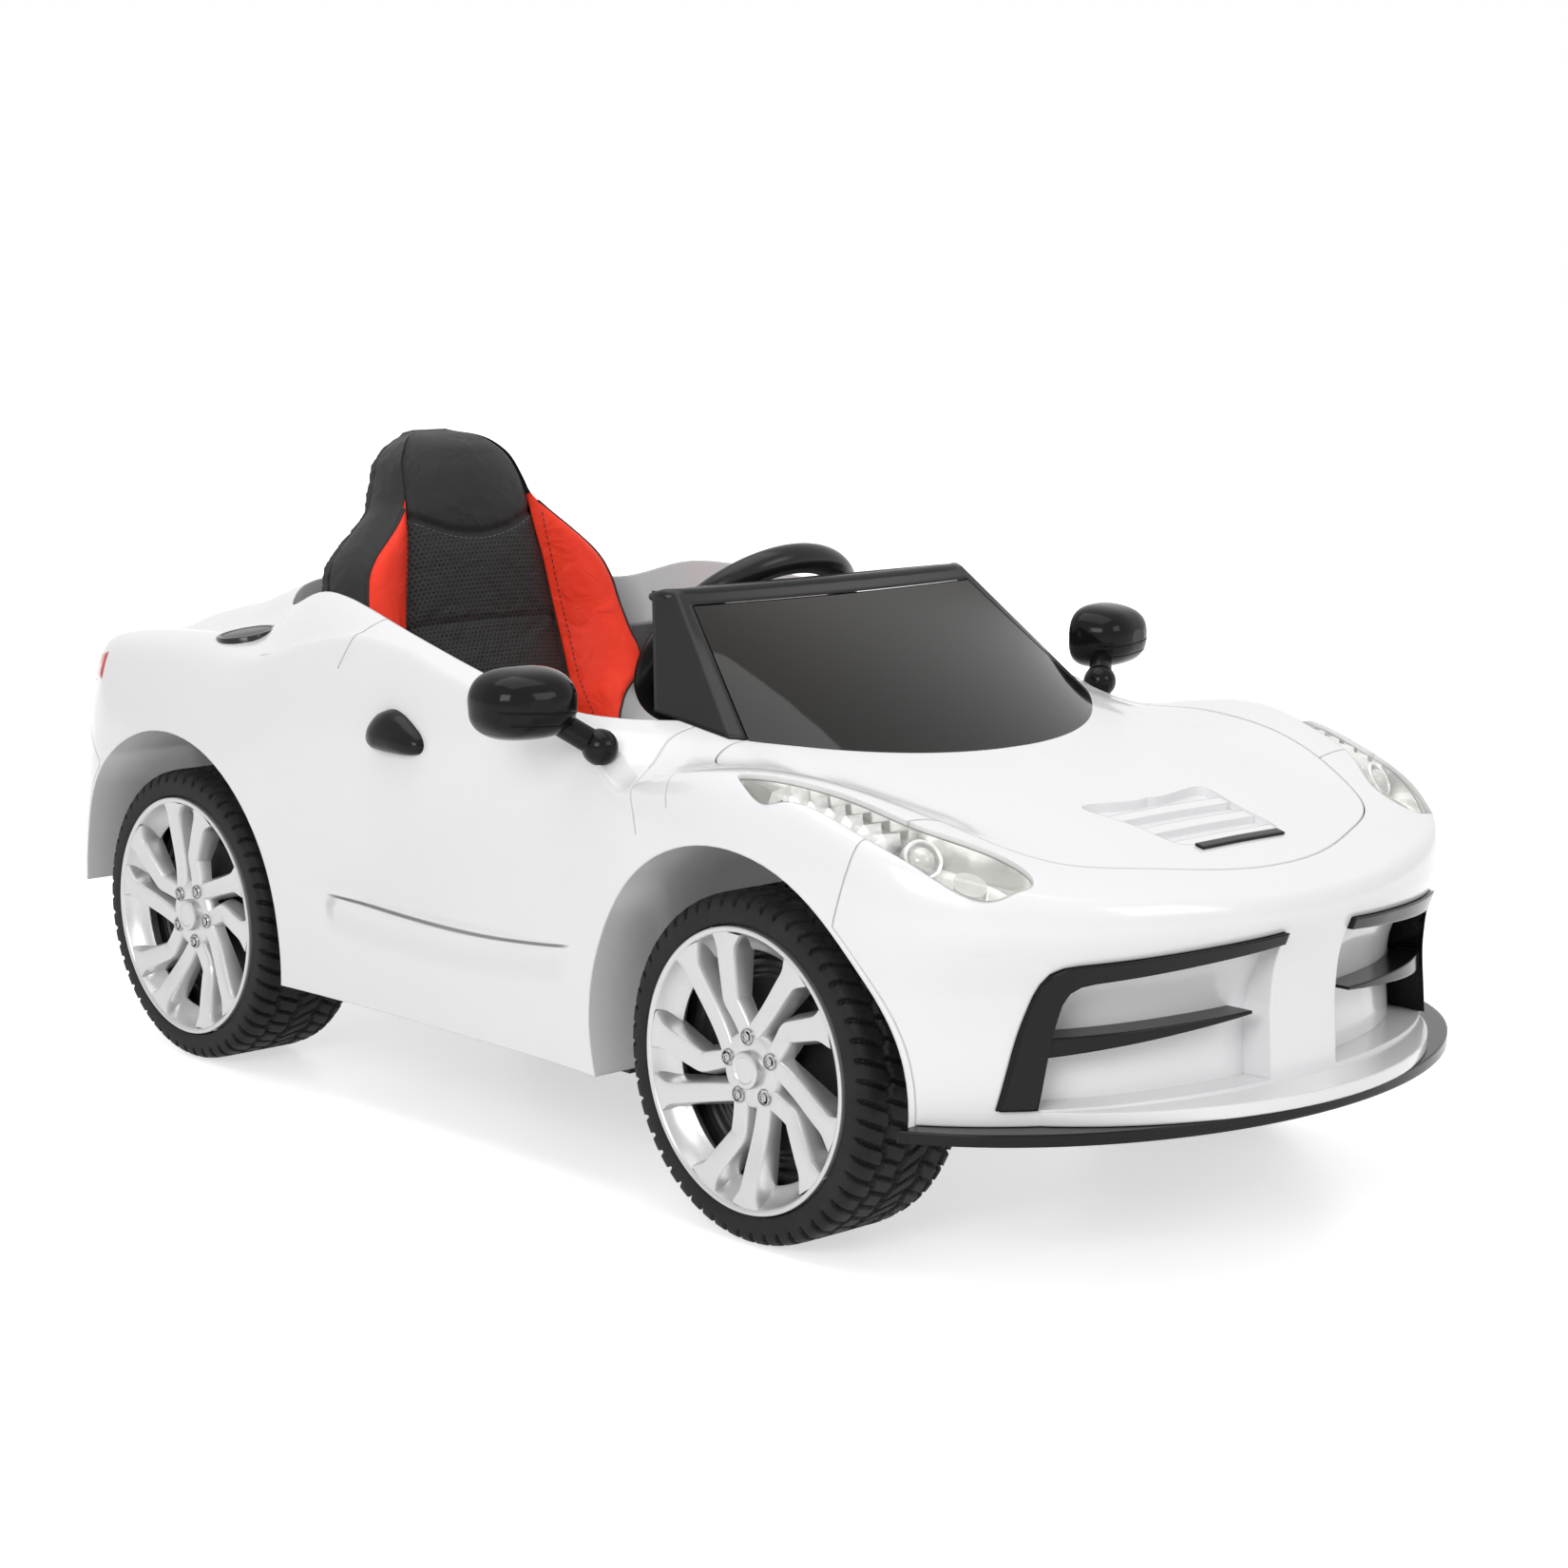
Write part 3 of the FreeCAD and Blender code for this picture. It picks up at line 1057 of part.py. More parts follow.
def make_mirror():
    """Left mirror: domed housing with its stalk and foot, and the glass set into its rear face."""
    rear = -MIRROR_DEPTH / 2
    rings = [mirror_outline(rear + MIRROR_DEPTH * part, share) for part, share in MIRROR_STEPS]
    shell = Part.makeLoft(rings, True, False)
    glass_share = 1 - 2 * MIRROR_GLASS_RIM / MIRROR_HEIGHT
    pocket = Part.Face(mirror_outline(rear, glass_share)).extrude(FORWARD * MIRROR_GLASS_THICK)
    housing = at_mirror(shell.cut(pocket))
    stalk = rod(MIRROR_STALK_START, MIRROR_FOOT, MIRROR_STALK_RADIUS)
    foot = Part.makeSphere(MIRROR_FOOT_RADIUS, MIRROR_FOOT)
    body = shifted(outer, y=PART_CLEARANCE)
    housing = housing.fuse(stalk).fuse(foot).cut(body).cut(at_mirror(pocket))
    return one_solid(housing), at_mirror(pocket)


# Floor, axles and drive. Each height follows from the floor, the tie rod under it and the arms below that.
FLOOR_HALF_WIDTH = 225.0
FLOOR_END_X = 186.0
TUNNEL_END_X = 440.0
CRANK_SLOT = (312.0, 348.0, 34.0)
POST_X = (300.0, 350.0)
POST_INNER_Y = 26.0
POST_THICK = 8.0
POST_BLOCK_Z = (122.0, 150.0)
PIN_PROUD = 2.0
ARM_EYE_RADIUS = 10.0
CRANK_SLOT_REACH = 14.0
STUB_COLLAR_RADIUS = 9.0
WALL_ROOM = 2.0
GEARBOX_BOSS_RADIUS = 16.0
BEAM_SIDE_THICK = 8.0
BEAM_SETBACK = 6.0
LUG_HALF = 12.0
lower_lug_base = arm_top + PART_CLEARANCE
lower_lug_top = lower_lug_base + LUG_PLATE
upper_lug_base = lower_lug_top + LUG_PLATE_SPAN
upper_lug_top = upper_lug_base + LUG_PLATE
tie_rod_x = FRONT_AXLE_X - STEERING_ARM
bush_radius = AXLE_RADIUS + BUSH_WALL
bracket_outer_y = WELL_INNER_Y - BODY_WALL - WALL_ROOM
gearbox_inner_y = WELL_INNER_Y + PART_CLEARANCE
battery_front_x = BATTERY_X + BATTERY_SIZE[0]
control_rear_x = CONTROL_BOX_X - CONTROL_BOX_SIZE[0] / 2


def make_floor_pan():
    """Floor with its narrow tunnel between the wheels, the rear axle brackets and the column's post."""
    floor = box(-FLOOR_END_X, FLOOR_END_X, -FLOOR_HALF_WIDTH, FLOOR_HALF_WIDTH, FLOOR_Z, floor_top)
    floor = floor.fuse(box(-TUNNEL_END_X, TUNNEL_END_X, -WELL_INNER_Y, WELL_INNER_Y, FLOOR_Z, floor_top))
    slot_rear, slot_front, slot_half = CRANK_SLOT
    floor = floor.cut(box(slot_rear, slot_front, -slot_half, slot_half, FLOOR_Z, floor_top))
    reach = BRACKET_WIDTH / 2
    bracket = box(REAR_AXLE_X - reach, REAR_AXLE_X + reach, bracket_outer_y - BRACKET_THICK, bracket_outer_y,
                  floor_top, AXLE_Z + bush_radius * 2)
    bracket = bracket.cut(well(bush_radius, REAR_AXLE_X, 0, WELL_INNER_Y))
    post_outer = max(POST_INNER_Y, slot_half) + POST_THICK
    side = box(*POST_X, post_outer - POST_THICK, post_outer, floor_top, POST_BLOCK_Z[1])
    block = box(*POST_X, -post_outer, post_outer, *POST_BLOCK_Z)
    floor = floor.fuse(bracket).fuse(mirrored(bracket)).fuse(side).fuse(mirrored(side)).fuse(block)
    bore = on_column(Part.makeCylinder(COLUMN_RADIUS, column_length, Vector(0, 0, -column_length), UP))
    return one_solid(floor.cut(bore).removeSplitter())


def make_axle_beam():
    """Front axle beam under the floor, with an upright and two lugs for each kingpin."""
    beam_y = WELL_INNER_Y + WALL_ROOM
    beam_rear = FRONT_AXLE_X + BEAM_SETBACK
    lug_rear = FRONT_AXLE_X - LUG_HALF
    lug_front = FRONT_AXLE_X + LUG_HALF
    side = beam_y + BEAM_SIDE_THICK
    half = box(beam_rear, beam_rear + AXLE_BEAM_DEPTH, 0, side, AXLE_BEAM_BASE_Z, FLOOR_Z)
    half = half.fuse(box(lug_rear, lug_front, beam_y, side, AXLE_BEAM_BASE_Z, upper_lug_top))
    for base, top in ((lower_lug_base, lower_lug_top), (upper_lug_base, upper_lug_top)):
        half = half.fuse(box(lug_rear, lug_front, beam_y, KINGPIN_Y, base, top))
        half = half.fuse(upright(LUG_HALF, FRONT_AXLE_X, KINGPIN_Y, base, top))
    half = half.cut(upright(AXLE_RADIUS + RUNNING_CLEARANCE, FRONT_AXLE_X, KINGPIN_Y, 0, FAR))
    return one_solid(joined(half))


def make_knuckle():
    """Left knuckle: kingpin, sleeve, stub axle and the arm that the tie rod turns."""
    knuckle = upright(AXLE_RADIUS, FRONT_AXLE_X, KINGPIN_Y, arm_base, upper_lug_top + PIN_PROUD)
    sleeve_base = lower_lug_top + PART_CLEARANCE
    sleeve_top = upper_lug_base - PART_CLEARANCE
    knuckle = knuckle.fuse(upright(KINGPIN_SLEEVE_RADIUS, FRONT_AXLE_X, KINGPIN_Y, sleeve_base, sleeve_top))
    knuckle = knuckle.fuse(well(AXLE_RADIUS, FRONT_AXLE_X, KINGPIN_Y, AXLE_END_Y))
    knuckle = knuckle.fuse(well(STUB_COLLAR_RADIUS, FRONT_AXLE_X, KINGPIN_Y, TYRE_INNER_Y - PART_CLEARANCE))
    for x in (FRONT_AXLE_X, tie_rod_x):
        knuckle = knuckle.fuse(upright(ARM_EYE_RADIUS, x, KINGPIN_Y, arm_base, arm_top))
    arm_side = KINGPIN_Y - STEERING_ARM_WIDTH / 2
    arm = box(tie_rod_x, FRONT_AXLE_X, arm_side, arm_side + STEERING_ARM_WIDTH, arm_base, arm_top)
    knuckle = knuckle.fuse(arm)
    pin_top = tie_rod_top + PIN_PROUD
    knuckle = knuckle.fuse(upright(TIE_ROD_PIN_RADIUS, tie_rod_x, KINGPIN_Y, arm_base, pin_top))
    return one_solid(knuckle.removeSplitter())


def make_tie_rod():
    """Flat tie rod between the arms, with the tab that the column's crank moves."""
    half = TIE_ROD_WIDTH / 2
    bar = box(tie_rod_x - half, tie_rod_x + half, -KINGPIN_Y, KINGPIN_Y, tie_rod_base, tie_rod_top)
    tab_front = crank_tip_x + CRANK_SLOT_REACH + half
    bar = bar.fuse(box(tie_rod_x, tab_front, -half * 2, half * 2, tie_rod_base, tie_rod_top))
    for y in (-KINGPIN_Y, KINGPIN_Y):
        bar = bar.fuse(upright(ARM_EYE_RADIUS, tie_rod_x, y, tie_rod_base, tie_rod_top))
        bar = bar.cut(upright(TIE_ROD_PIN_RADIUS + 2 * RUNNING_CLEARANCE, tie_rod_x, y, 0, FAR))
    reach = CRANK_BALL + CRANK_CLEARANCE
    bar = bar.cut(upright(reach, crank_tip_x, 0, 0, FAR))
    bar = bar.cut(box(crank_tip_x, crank_tip_x + CRANK_SLOT_REACH, -reach, reach, 0, FAR))
    return one_solid(bar.removeSplitter())


def lock_nut(axle_x):
    """Nut that holds the left wheel on its axle."""
    nut = well(LOCK_NUT_RADIUS, axle_x, LOCK_NUT_OUTER_Y - LOCK_NUT_LENGTH, LOCK_NUT_OUTER_Y)
    return nut.cut(well(AXLE_RADIUS, axle_x, 0, FAR))


def make_bush():
    """Bush that carries the rear axle in the left bracket."""
    bush = well(bush_radius, REAR_AXLE_X, bracket_outer_y - BRACKET_THICK, bracket_outer_y)
    return bush.cut(well(AXLE_RADIUS, REAR_AXLE_X, 0, FAR))


def make_gearbox():
    """Left gearbox round the rear axle, with a lobe for the motor and a boss that meets the wheel."""
    end = gearbox_inner_y + GEARBOX_WIDTH
    case = well(GEARBOX_RADIUS, REAR_AXLE_X, gearbox_inner_y, end)
    case = case.fuse(across(GEARBOX_LOBE, MOTOR_X, MOTOR_Z, gearbox_inner_y, end))
    run = MOTOR_X - REAR_AXLE_X
    rise = MOTOR_Z - AXLE_Z
    span = math.hypot(run, rise)
    side = (-rise / span * GEARBOX_LOBE, run / span * GEARBOX_LOBE)
    bridge = [(REAR_AXLE_X + side[0], AXLE_Z + side[1]), (MOTOR_X + side[0], MOTOR_Z + side[1]),
              (MOTOR_X - side[0], MOTOR_Z - side[1]), (REAR_AXLE_X - side[0], AXLE_Z - side[1])]
    case = case.fuse(prism(bridge, gearbox_inner_y, end, "y", smooth=False))
    case = case.fuse(well(GEARBOX_BOSS_RADIUS, REAR_AXLE_X, gearbox_inner_y, TYRE_INNER_Y - PART_CLEARANCE))
    return one_solid(case.cut(well(AXLE_RADIUS, REAR_AXLE_X, 0, FAR)).removeSplitter())


def make_motor():
    """Left drive motor, on the inner face of its gearbox."""
    return across(MOTOR_RADIUS, MOTOR_X, MOTOR_Z, gearbox_inner_y - MOTOR_LENGTH, gearbox_inner_y)


def make_battery():
    """Battery under the seat."""
    length, width, tall = BATTERY_SIZE
    return box(BATTERY_X, battery_front_x, -width / 2, width / 2, floor_top, floor_top + tall)


def make_strap():
    """Strap over the battery with a foot on each side."""
    length, width, tall = BATTERY_SIZE
    middle = BATTERY_X + length / 2
    reach = width / 2 + STRAP_THICK
    rear = middle - STRAP_WIDTH / 2
    front = middle + STRAP_WIDTH / 2
    side = reach + STRAP_FOOT
    band = box(rear, front, -reach, reach, floor_top, floor_top + tall + STRAP_THICK)
    foot = box(rear, front, -side, side, floor_top, floor_top + STRAP_THICK)
    return band.fuse(foot).cut(make_battery()).removeSplitter()


def make_control_box():
    """Control box behind the seat."""
    length, width, tall = CONTROL_BOX_SIZE
    return box(control_rear_x, control_rear_x + length, -width / 2, width / 2, floor_top, floor_top + tall)


def lead(points, radius):
    """A wire as straight runs joined by round bends."""
    edges = []
    start = points[0]
    for before, corner, after in zip(points, points[1:], points[2:]):
        back = (before - corner).normalize()
        ahead = (after - corner).normalize()
        enter = corner + back * WIRE_BEND
        leave = corner + ahead * WIRE_BEND
        middle = corner + (back + ahead) * WIRE_BEND * (1 - math.sqrt(0.5))
        edges.append(Part.makeLine(start, enter))
        edges.append(Part.Arc(enter, middle, leave).toShape())
        start = leave
    edges.append(Part.makeLine(start, points[-1]))
    path = Part.Wire(edges)
    ring = Part.Wire([Part.makeCircle(radius, points[0], points[1] - points[0])])
    return path.makePipeShell([ring], True, False)


def wire_paths():
    """Routes of the wires: battery to control box, control box to both motors and to the dashboard."""
    length, width, tall = CONTROL_BOX_SIZE
    front = control_rear_x + length
    wire_z = floor_top + WIRE_RADIUS
    middle_z = floor_top + tall / 2
    paths = [[Vector(front, 0, middle_z), Vector(BATTERY_X, 0, middle_z)]]
    motor_end = gearbox_inner_y - MOTOR_LENGTH
    for side in (-1, 1):
        start_y = side * (motor_end - WIRE_BEND - WIRE_RADIUS)
        paths.append([Vector(MOTOR_X, start_y, floor_top + tall), Vector(MOTOR_X, start_y, MOTOR_Z),
                      Vector(MOTOR_X, side * motor_end, MOTOR_Z)])
    paths.append([Vector(CONTROL_BOX_X, width / 2, wire_z), Vector(CONTROL_BOX_X, WIRE_SIDE_Y, wire_z),
                  Vector(WIRE_DASH_X, WIRE_SIDE_Y, wire_z), Vector(WIRE_DASH_X, WIRE_SIDE_Y, dash_room_top)])
    return paths


# Pedal on the right of the column
PEDAL_Y = -75.0
PEDAL_X = 262.0
PEDAL_Z = 102.0
PEDAL_PIN_RADIUS = 4.0
PEDAL_EYE_RADIUS = 8.0
PEDAL_EAR_THICK = 4.0
PEDAL_BASE_THICK = 4.0
PEDAL_BASE_LENGTH = 70.0
PEDAL_SWITCH = (24.0, 20.0, 20.0)
PEDAL_RIBS = 4
PEDAL_RIB_PROUD = 2.0


def make_pedal():
    """Ribbed pedal plate on its hinge eye."""
    half = PEDAL_WIDTH / 2
    plate = box(0, PEDAL_LENGTH, -half, half, -PEDAL_THICK / 2, PEDAL_THICK / 2)
    pitch = PEDAL_LENGTH / (PEDAL_RIBS + 1)
    for index in range(PEDAL_RIBS):
        start = pitch * (index + 1)
        plate = plate.fuse(box(start, start + pitch / 2, -half, half, 0, PEDAL_THICK / 2 + PEDAL_RIB_PROUD))
    plate = plate.fuse(across(PEDAL_EYE_RADIUS, 0, 0, -half, half)).removeSplitter()
    plate = plate.cut(across(PEDAL_PIN_RADIUS + RUNNING_CLEARANCE, 0, 0, -FAR, FAR))
    hinge = Vector(PEDAL_X, PEDAL_Y, PEDAL_Z)
    plate.Placement = FreeCAD.Placement(hinge, FreeCAD.Rotation(LEFT, -PEDAL_ANGLE))
    return plate


def make_pedal_bracket():
    """Pedal bracket on the floor: base plate, two ears, hinge pin and the switch under the pedal."""
    inner = PEDAL_WIDTH / 2 + PART_CLEARANCE
    reach = inner + PEDAL_EAR_THICK
    rear = PEDAL_X - PEDAL_EYE_RADIUS
    base = box(rear, rear + PEDAL_BASE_LENGTH, -reach, reach, floor_top, floor_top + PEDAL_BASE_THICK)
    ear = box(rear, PEDAL_X + PEDAL_EYE_RADIUS, inner, reach, floor_top, PEDAL_Z + PEDAL_EYE_RADIUS)
    pin = across(PEDAL_PIN_RADIUS, PEDAL_X, PEDAL_Z, -reach, reach)
    length, width, tall = PEDAL_SWITCH
    switch_end = rear + PEDAL_BASE_LENGTH
    switch = box(switch_end - length, switch_end, -width / 2, width / 2, floor_top, floor_top + tall)
    bracket = base.fuse(ear).fuse(mirrored(ear)).fuse(pin).fuse(switch).removeSplitter()
    return shifted(bracket, y=PEDAL_Y)


# Wheels: (radius, y) outlines of the left wheel, turned about its axle.
HUB_TUBE_RADIUS = 18.0
DISH_THICK = 6.0
DISH_Y = 222.0
DISH_RINGS = [(84, 78), (72, 67), (62, 58)]
DISH_RING_PROUD = 2.0
TREAD_THICK = 7.0
TREAD_NOTCHES = 54
NOTCH_WIDTH = 3.0
NOTCH_DEPTH = 2.5
RIM_BARREL_RADIUS = 72.0
RIM_EDGE = 3.5
SPOKE_BACK_Y = 236.0
SPOKE_FACE_Y = 253.0
SPOKE_ROOT = (0.22, -6.0)
SPOKE_KINK = (0.50, -23.0)
SPOKE_KINK_END = (0.95, -10.5)
SPOKE_STRAIGHT_END = (0.95, 34.0)
SPOKE_ROOT_WIDTH = 11.0
SPOKE_END_WIDTH = 17.0
HUB_DISC_RADIUS = 27.0
NUT_ROOM_RADIUS = 10.0
LUG_SINK = 4.0
LUG_SOCKET_RADIUS = 5.2
FRONT_WHEEL_ANGLE = 0.0
REAR_WHEEL_ANGLE = 30.0


def turned(points, axle_x):
    """A (radius, y) outline turned about a wheel's axis."""
    corners = [Vector(axle_x + radius, y, AXLE_Z) for radius, y in points]
    face = Part.Face(Part.makePolygon(corners + corners[:1]))
    return face.revolve(Vector(axle_x, 0, AXLE_Z), LEFT, 360)


def make_tyre(axle_x):
    """Left wheel: tyre, dish with its ring beads and hub tube, moulded in one piece."""
    bore = AXLE_RADIUS + RUNNING_CLEARANCE
    seat = RIM_RADIUS + PART_CLEARANCE
    inner_y = TYRE_INNER_Y
    dish_face = DISH_Y + DISH_THICK
    barrel = seat + TYRE_WALL
    tread = TYRE_RADIUS - TREAD_THICK
    web_y = TYRE_OUTER_Y - TYRE_SHOULDER
    hub_end = LOCK_NUT_OUTER_Y - LOCK_NUT_LENGTH - PIN_PROUD
    face = []
    for outer_r, inner_r in DISH_RINGS:
        face += [(outer_r, dish_face), (outer_r, dish_face + DISH_RING_PROUD),
                 (inner_r, dish_face + DISH_RING_PROUD), (inner_r, dish_face)]
    hub = [(bore, hub_end), (bore, inner_y), (HUB_TUBE_RADIUS, inner_y), (HUB_TUBE_RADIUS, DISH_Y),
           (seat, DISH_Y)]
    ring = [(seat, inner_y), (barrel, inner_y), (barrel, web_y), (tread, web_y), (tread, inner_y),
            (TYRE_RADIUS, inner_y + TREAD_THICK), (TYRE_RADIUS, web_y),
            (TYRE_RADIUS - TYRE_SHOULDER, TYRE_OUTER_Y), (seat, TYRE_OUTER_Y), (seat, dish_face)]
    tyre = turned(hub + ring + face + [(HUB_TUBE_RADIUS, dish_face), (HUB_TUBE_RADIUS, hub_end)], axle_x)
    notches = []
    for index in range(TREAD_NOTCHES):
        notch = box(axle_x - NOTCH_WIDTH / 2, axle_x + NOTCH_WIDTH / 2, web_y - TYRE_SHOULDER, FAR,
                    AXLE_Z + TYRE_RADIUS - NOTCH_DEPTH, AXLE_Z + FAR)
        notch.rotate(Vector(axle_x, 0, AXLE_Z), LEFT, 360 * index / TREAD_NOTCHES)
        notches.append(notch)
    return one_solid(tyre.cut(Part.makeCompound(notches)))


def on_rim(share, angle, axle_x):
    """Point on the left rim: share of its radius, and degrees clockwise from the top seen from outside."""
    radius = RIM_RADIUS * share
    turn = math.radians(angle)
    return Vector(axle_x - radius * math.sin(turn), SPOKE_BACK_Y, AXLE_Z + radius * math.cos(turn))


def strip(points, start_width, end_width):
    """A spoke that follows the points, widening from start to end."""
    left = []
    right = []
    last = len(points) - 1
    for index, point in enumerate(points):
        along = points[min(index + 1, last)] - points[max(index - 1, 0)]
        sideways = along.cross(LEFT).normalize()
        width = start_width + (end_width - start_width) * index / last
        left.append(point + sideways * (width / 2))
        right.append(point - sideways * (width / 2))
    ring = left + right[::-1]
    return Part.Face(Part.makePolygon(ring + ring[:1])).extrude(LEFT * (SPOKE_FACE_Y - SPOKE_BACK_Y))


def make_hubcap(axle_x, start_angle):
    """Left hubcap: rim with a sloping barrel, five pairs of spokes, lug nuts and a centre cap."""
    base_y = DISH_Y + DISH_THICK + DISH_RING_PROUD + PART_CLEARANCE
    face_y = TYRE_OUTER_Y + RIM_PROUD
    outline = [(RIM_RADIUS, base_y), (RIM_RADIUS, face_y), (RIM_RADIUS - RIM_EDGE, face_y),
               (RIM_BARREL_RADIUS, SPOKE_BACK_Y + RIM_EDGE), (RIM_BARREL_RADIUS, SPOKE_BACK_Y),
               (RIM_RADIUS - RIM_LIP, SPOKE_BACK_Y), (RIM_RADIUS - RIM_LIP, base_y)]
    cap = turned(outline, axle_x)
    step = 360 / SPOKE_PAIRS
    for index in range(SPOKE_PAIRS):
        turn = start_angle + step * index
        root = on_rim(SPOKE_ROOT[0], SPOKE_ROOT[1] + turn, axle_x)
        kink = on_rim(SPOKE_KINK[0], SPOKE_KINK[1] + turn, axle_x)
        kink_end = on_rim(SPOKE_KINK_END[0], SPOKE_KINK_END[1] + turn, axle_x)
        straight_end = on_rim(SPOKE_STRAIGHT_END[0], SPOKE_STRAIGHT_END[1] + turn, axle_x)
        cap = cap.fuse(strip([root, kink, kink_end], SPOKE_ROOT_WIDTH, SPOKE_END_WIDTH))
        cap = cap.fuse(strip([root, straight_end], SPOKE_ROOT_WIDTH, SPOKE_END_WIDTH))
    cap = cap.fuse(well(HUB_DISC_RADIUS, axle_x, SPOKE_BACK_Y, SPOKE_FACE_Y))
    for index in range(SPOKE_PAIRS):
        place = on_rim(SPOKE_ROOT[0], SPOKE_ROOT[1] + start_angle + step * index, axle_x)
        socket_y = SPOKE_FACE_Y - LUG_SINK
        cap = cap.cut(across(LUG_SOCKET_RADIUS, place.x, place.z, socket_y, FAR))
        cap = cap.fuse(across(LUG_RADIUS, place.x, place.z, socket_y - PIN_PROUD, SPOKE_FACE_Y))
    cap = cap.fuse(well(CENTRE_CAP_RADIUS, axle_x, SPOKE_BACK_Y, SPOKE_FACE_Y + CENTRE_CAP_PROUD))
    cap = cap.cut(well(NUT_ROOM_RADIUS, axle_x, 0, AXLE_END_Y + PIN_PROUD))
    cap = cap.common(well(RIM_RADIUS, axle_x, 0, FAR))
    return one_solid(cap.removeSplitter())


def other_side(shape, axle_x):
    """The same wheel piece turned round for the right side."""
    copy = shape.copy()
    copy.rotate(Vector(axle_x, 0, AXLE_Z), UP, 180)
    return copy


save("body_shell", make_body_shell())
save("hood", make_hood())
save("front_bumper", make_front_bumper())
save("front_splitter", make_splitter())
save("rear_bumper", make_rear_bumper())
save("grille_trims", pair(make_grille_trim()))
lens, bowl, led = make_headlamp()
save("headlamp_lenses", pair(lens))
save("headlamp_bowls", pair(bowl))
save("headlamp_leds", pair(led))
save("tail_lamps", pair(make_tail_lamp()))
screen_frame, screen_panel = make_windscreen()
save("windscreen_frame", screen_frame)
save("windscreen_panel", screen_panel)
save("fuel_cap", make_fuel_cap())
save("side_handles", pair(make_handle()))
save("hood_trim_bar", make_trim_bar())
mirror_housing, mirror_glass = make_mirror()
save("mirror_housings", pair(mirror_housing))
save("mirror_glasses", pair(mirror_glass))

save("dashboard", make_dashboard())
save("power_button", make_power_button())
save("direction_rocker", make_rocker())
save("charge_socket", make_charge_socket())
save("steering_wheel", make_steering_wheel())
save("horn_button", make_horn_button(HORN_Y))
save("music_button", make_horn_button(-HORN_Y))
save("steering_column", make_steering_column())
save("seat_shell", make_seat_shell())
save("seat_base_pad", make_seat_base_pad())
save("seat_back_pad", make_seat_back_pad())
save("seat_bolsters", pair(make_seat_bolster()))
save("pedal", make_pedal())
save("pedal_bracket", make_pedal_bracket())

save("floor_pan", make_floor_pan())
save("front_axle_beam", make_axle_beam())
save("knuckle_left", make_knuckle())
save("knuckle_right", mirrored(make_knuckle()))
save("tie_rod", make_tie_rod())
save("front_nut_left", lock_nut(FRONT_AXLE_X))
save("front_nut_right", mirrored(lock_nut(FRONT_AXLE_X)))
save("rear_axle", well(AXLE_RADIUS, REAR_AXLE_X, -AXLE_END_Y, AXLE_END_Y))
save("axle_bushes", pair(make_bush()))
save("rear_nuts", pair(lock_nut(REAR_AXLE_X)))
save("gearboxes", pair(make_gearbox()))
save("motors", pair(make_motor()))
save("battery", make_battery())
save("battery_strap", make_strap())
save("control_box", make_control_box())
save("wiring_harness", Part.makeCompound([lead(path, WIRE_RADIUS) for path in wire_paths()]))

wheel_places = (("front", FRONT_AXLE_X, FRONT_WHEEL_ANGLE), ("rear", REAR_AXLE_X, REAR_WHEEL_ANGLE))
for place, axle_x, start_angle in wheel_places:
    tyre = make_tyre(axle_x)
    hubcap = make_hubcap(axle_x, start_angle)
    save("tyre_" + place + "_left", tyre)
    save("tyre_" + place + "_right", other_side(tyre, axle_x))
    save("hubcap_" + place + "_left", hubcap)
    save("hubcap_" + place + "_right", other_side(hubcap, axle_x))
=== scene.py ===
import math

import bmesh
import bpy
import numpy as np
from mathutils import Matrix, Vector
from mathutils.bvhtree import BVHTree


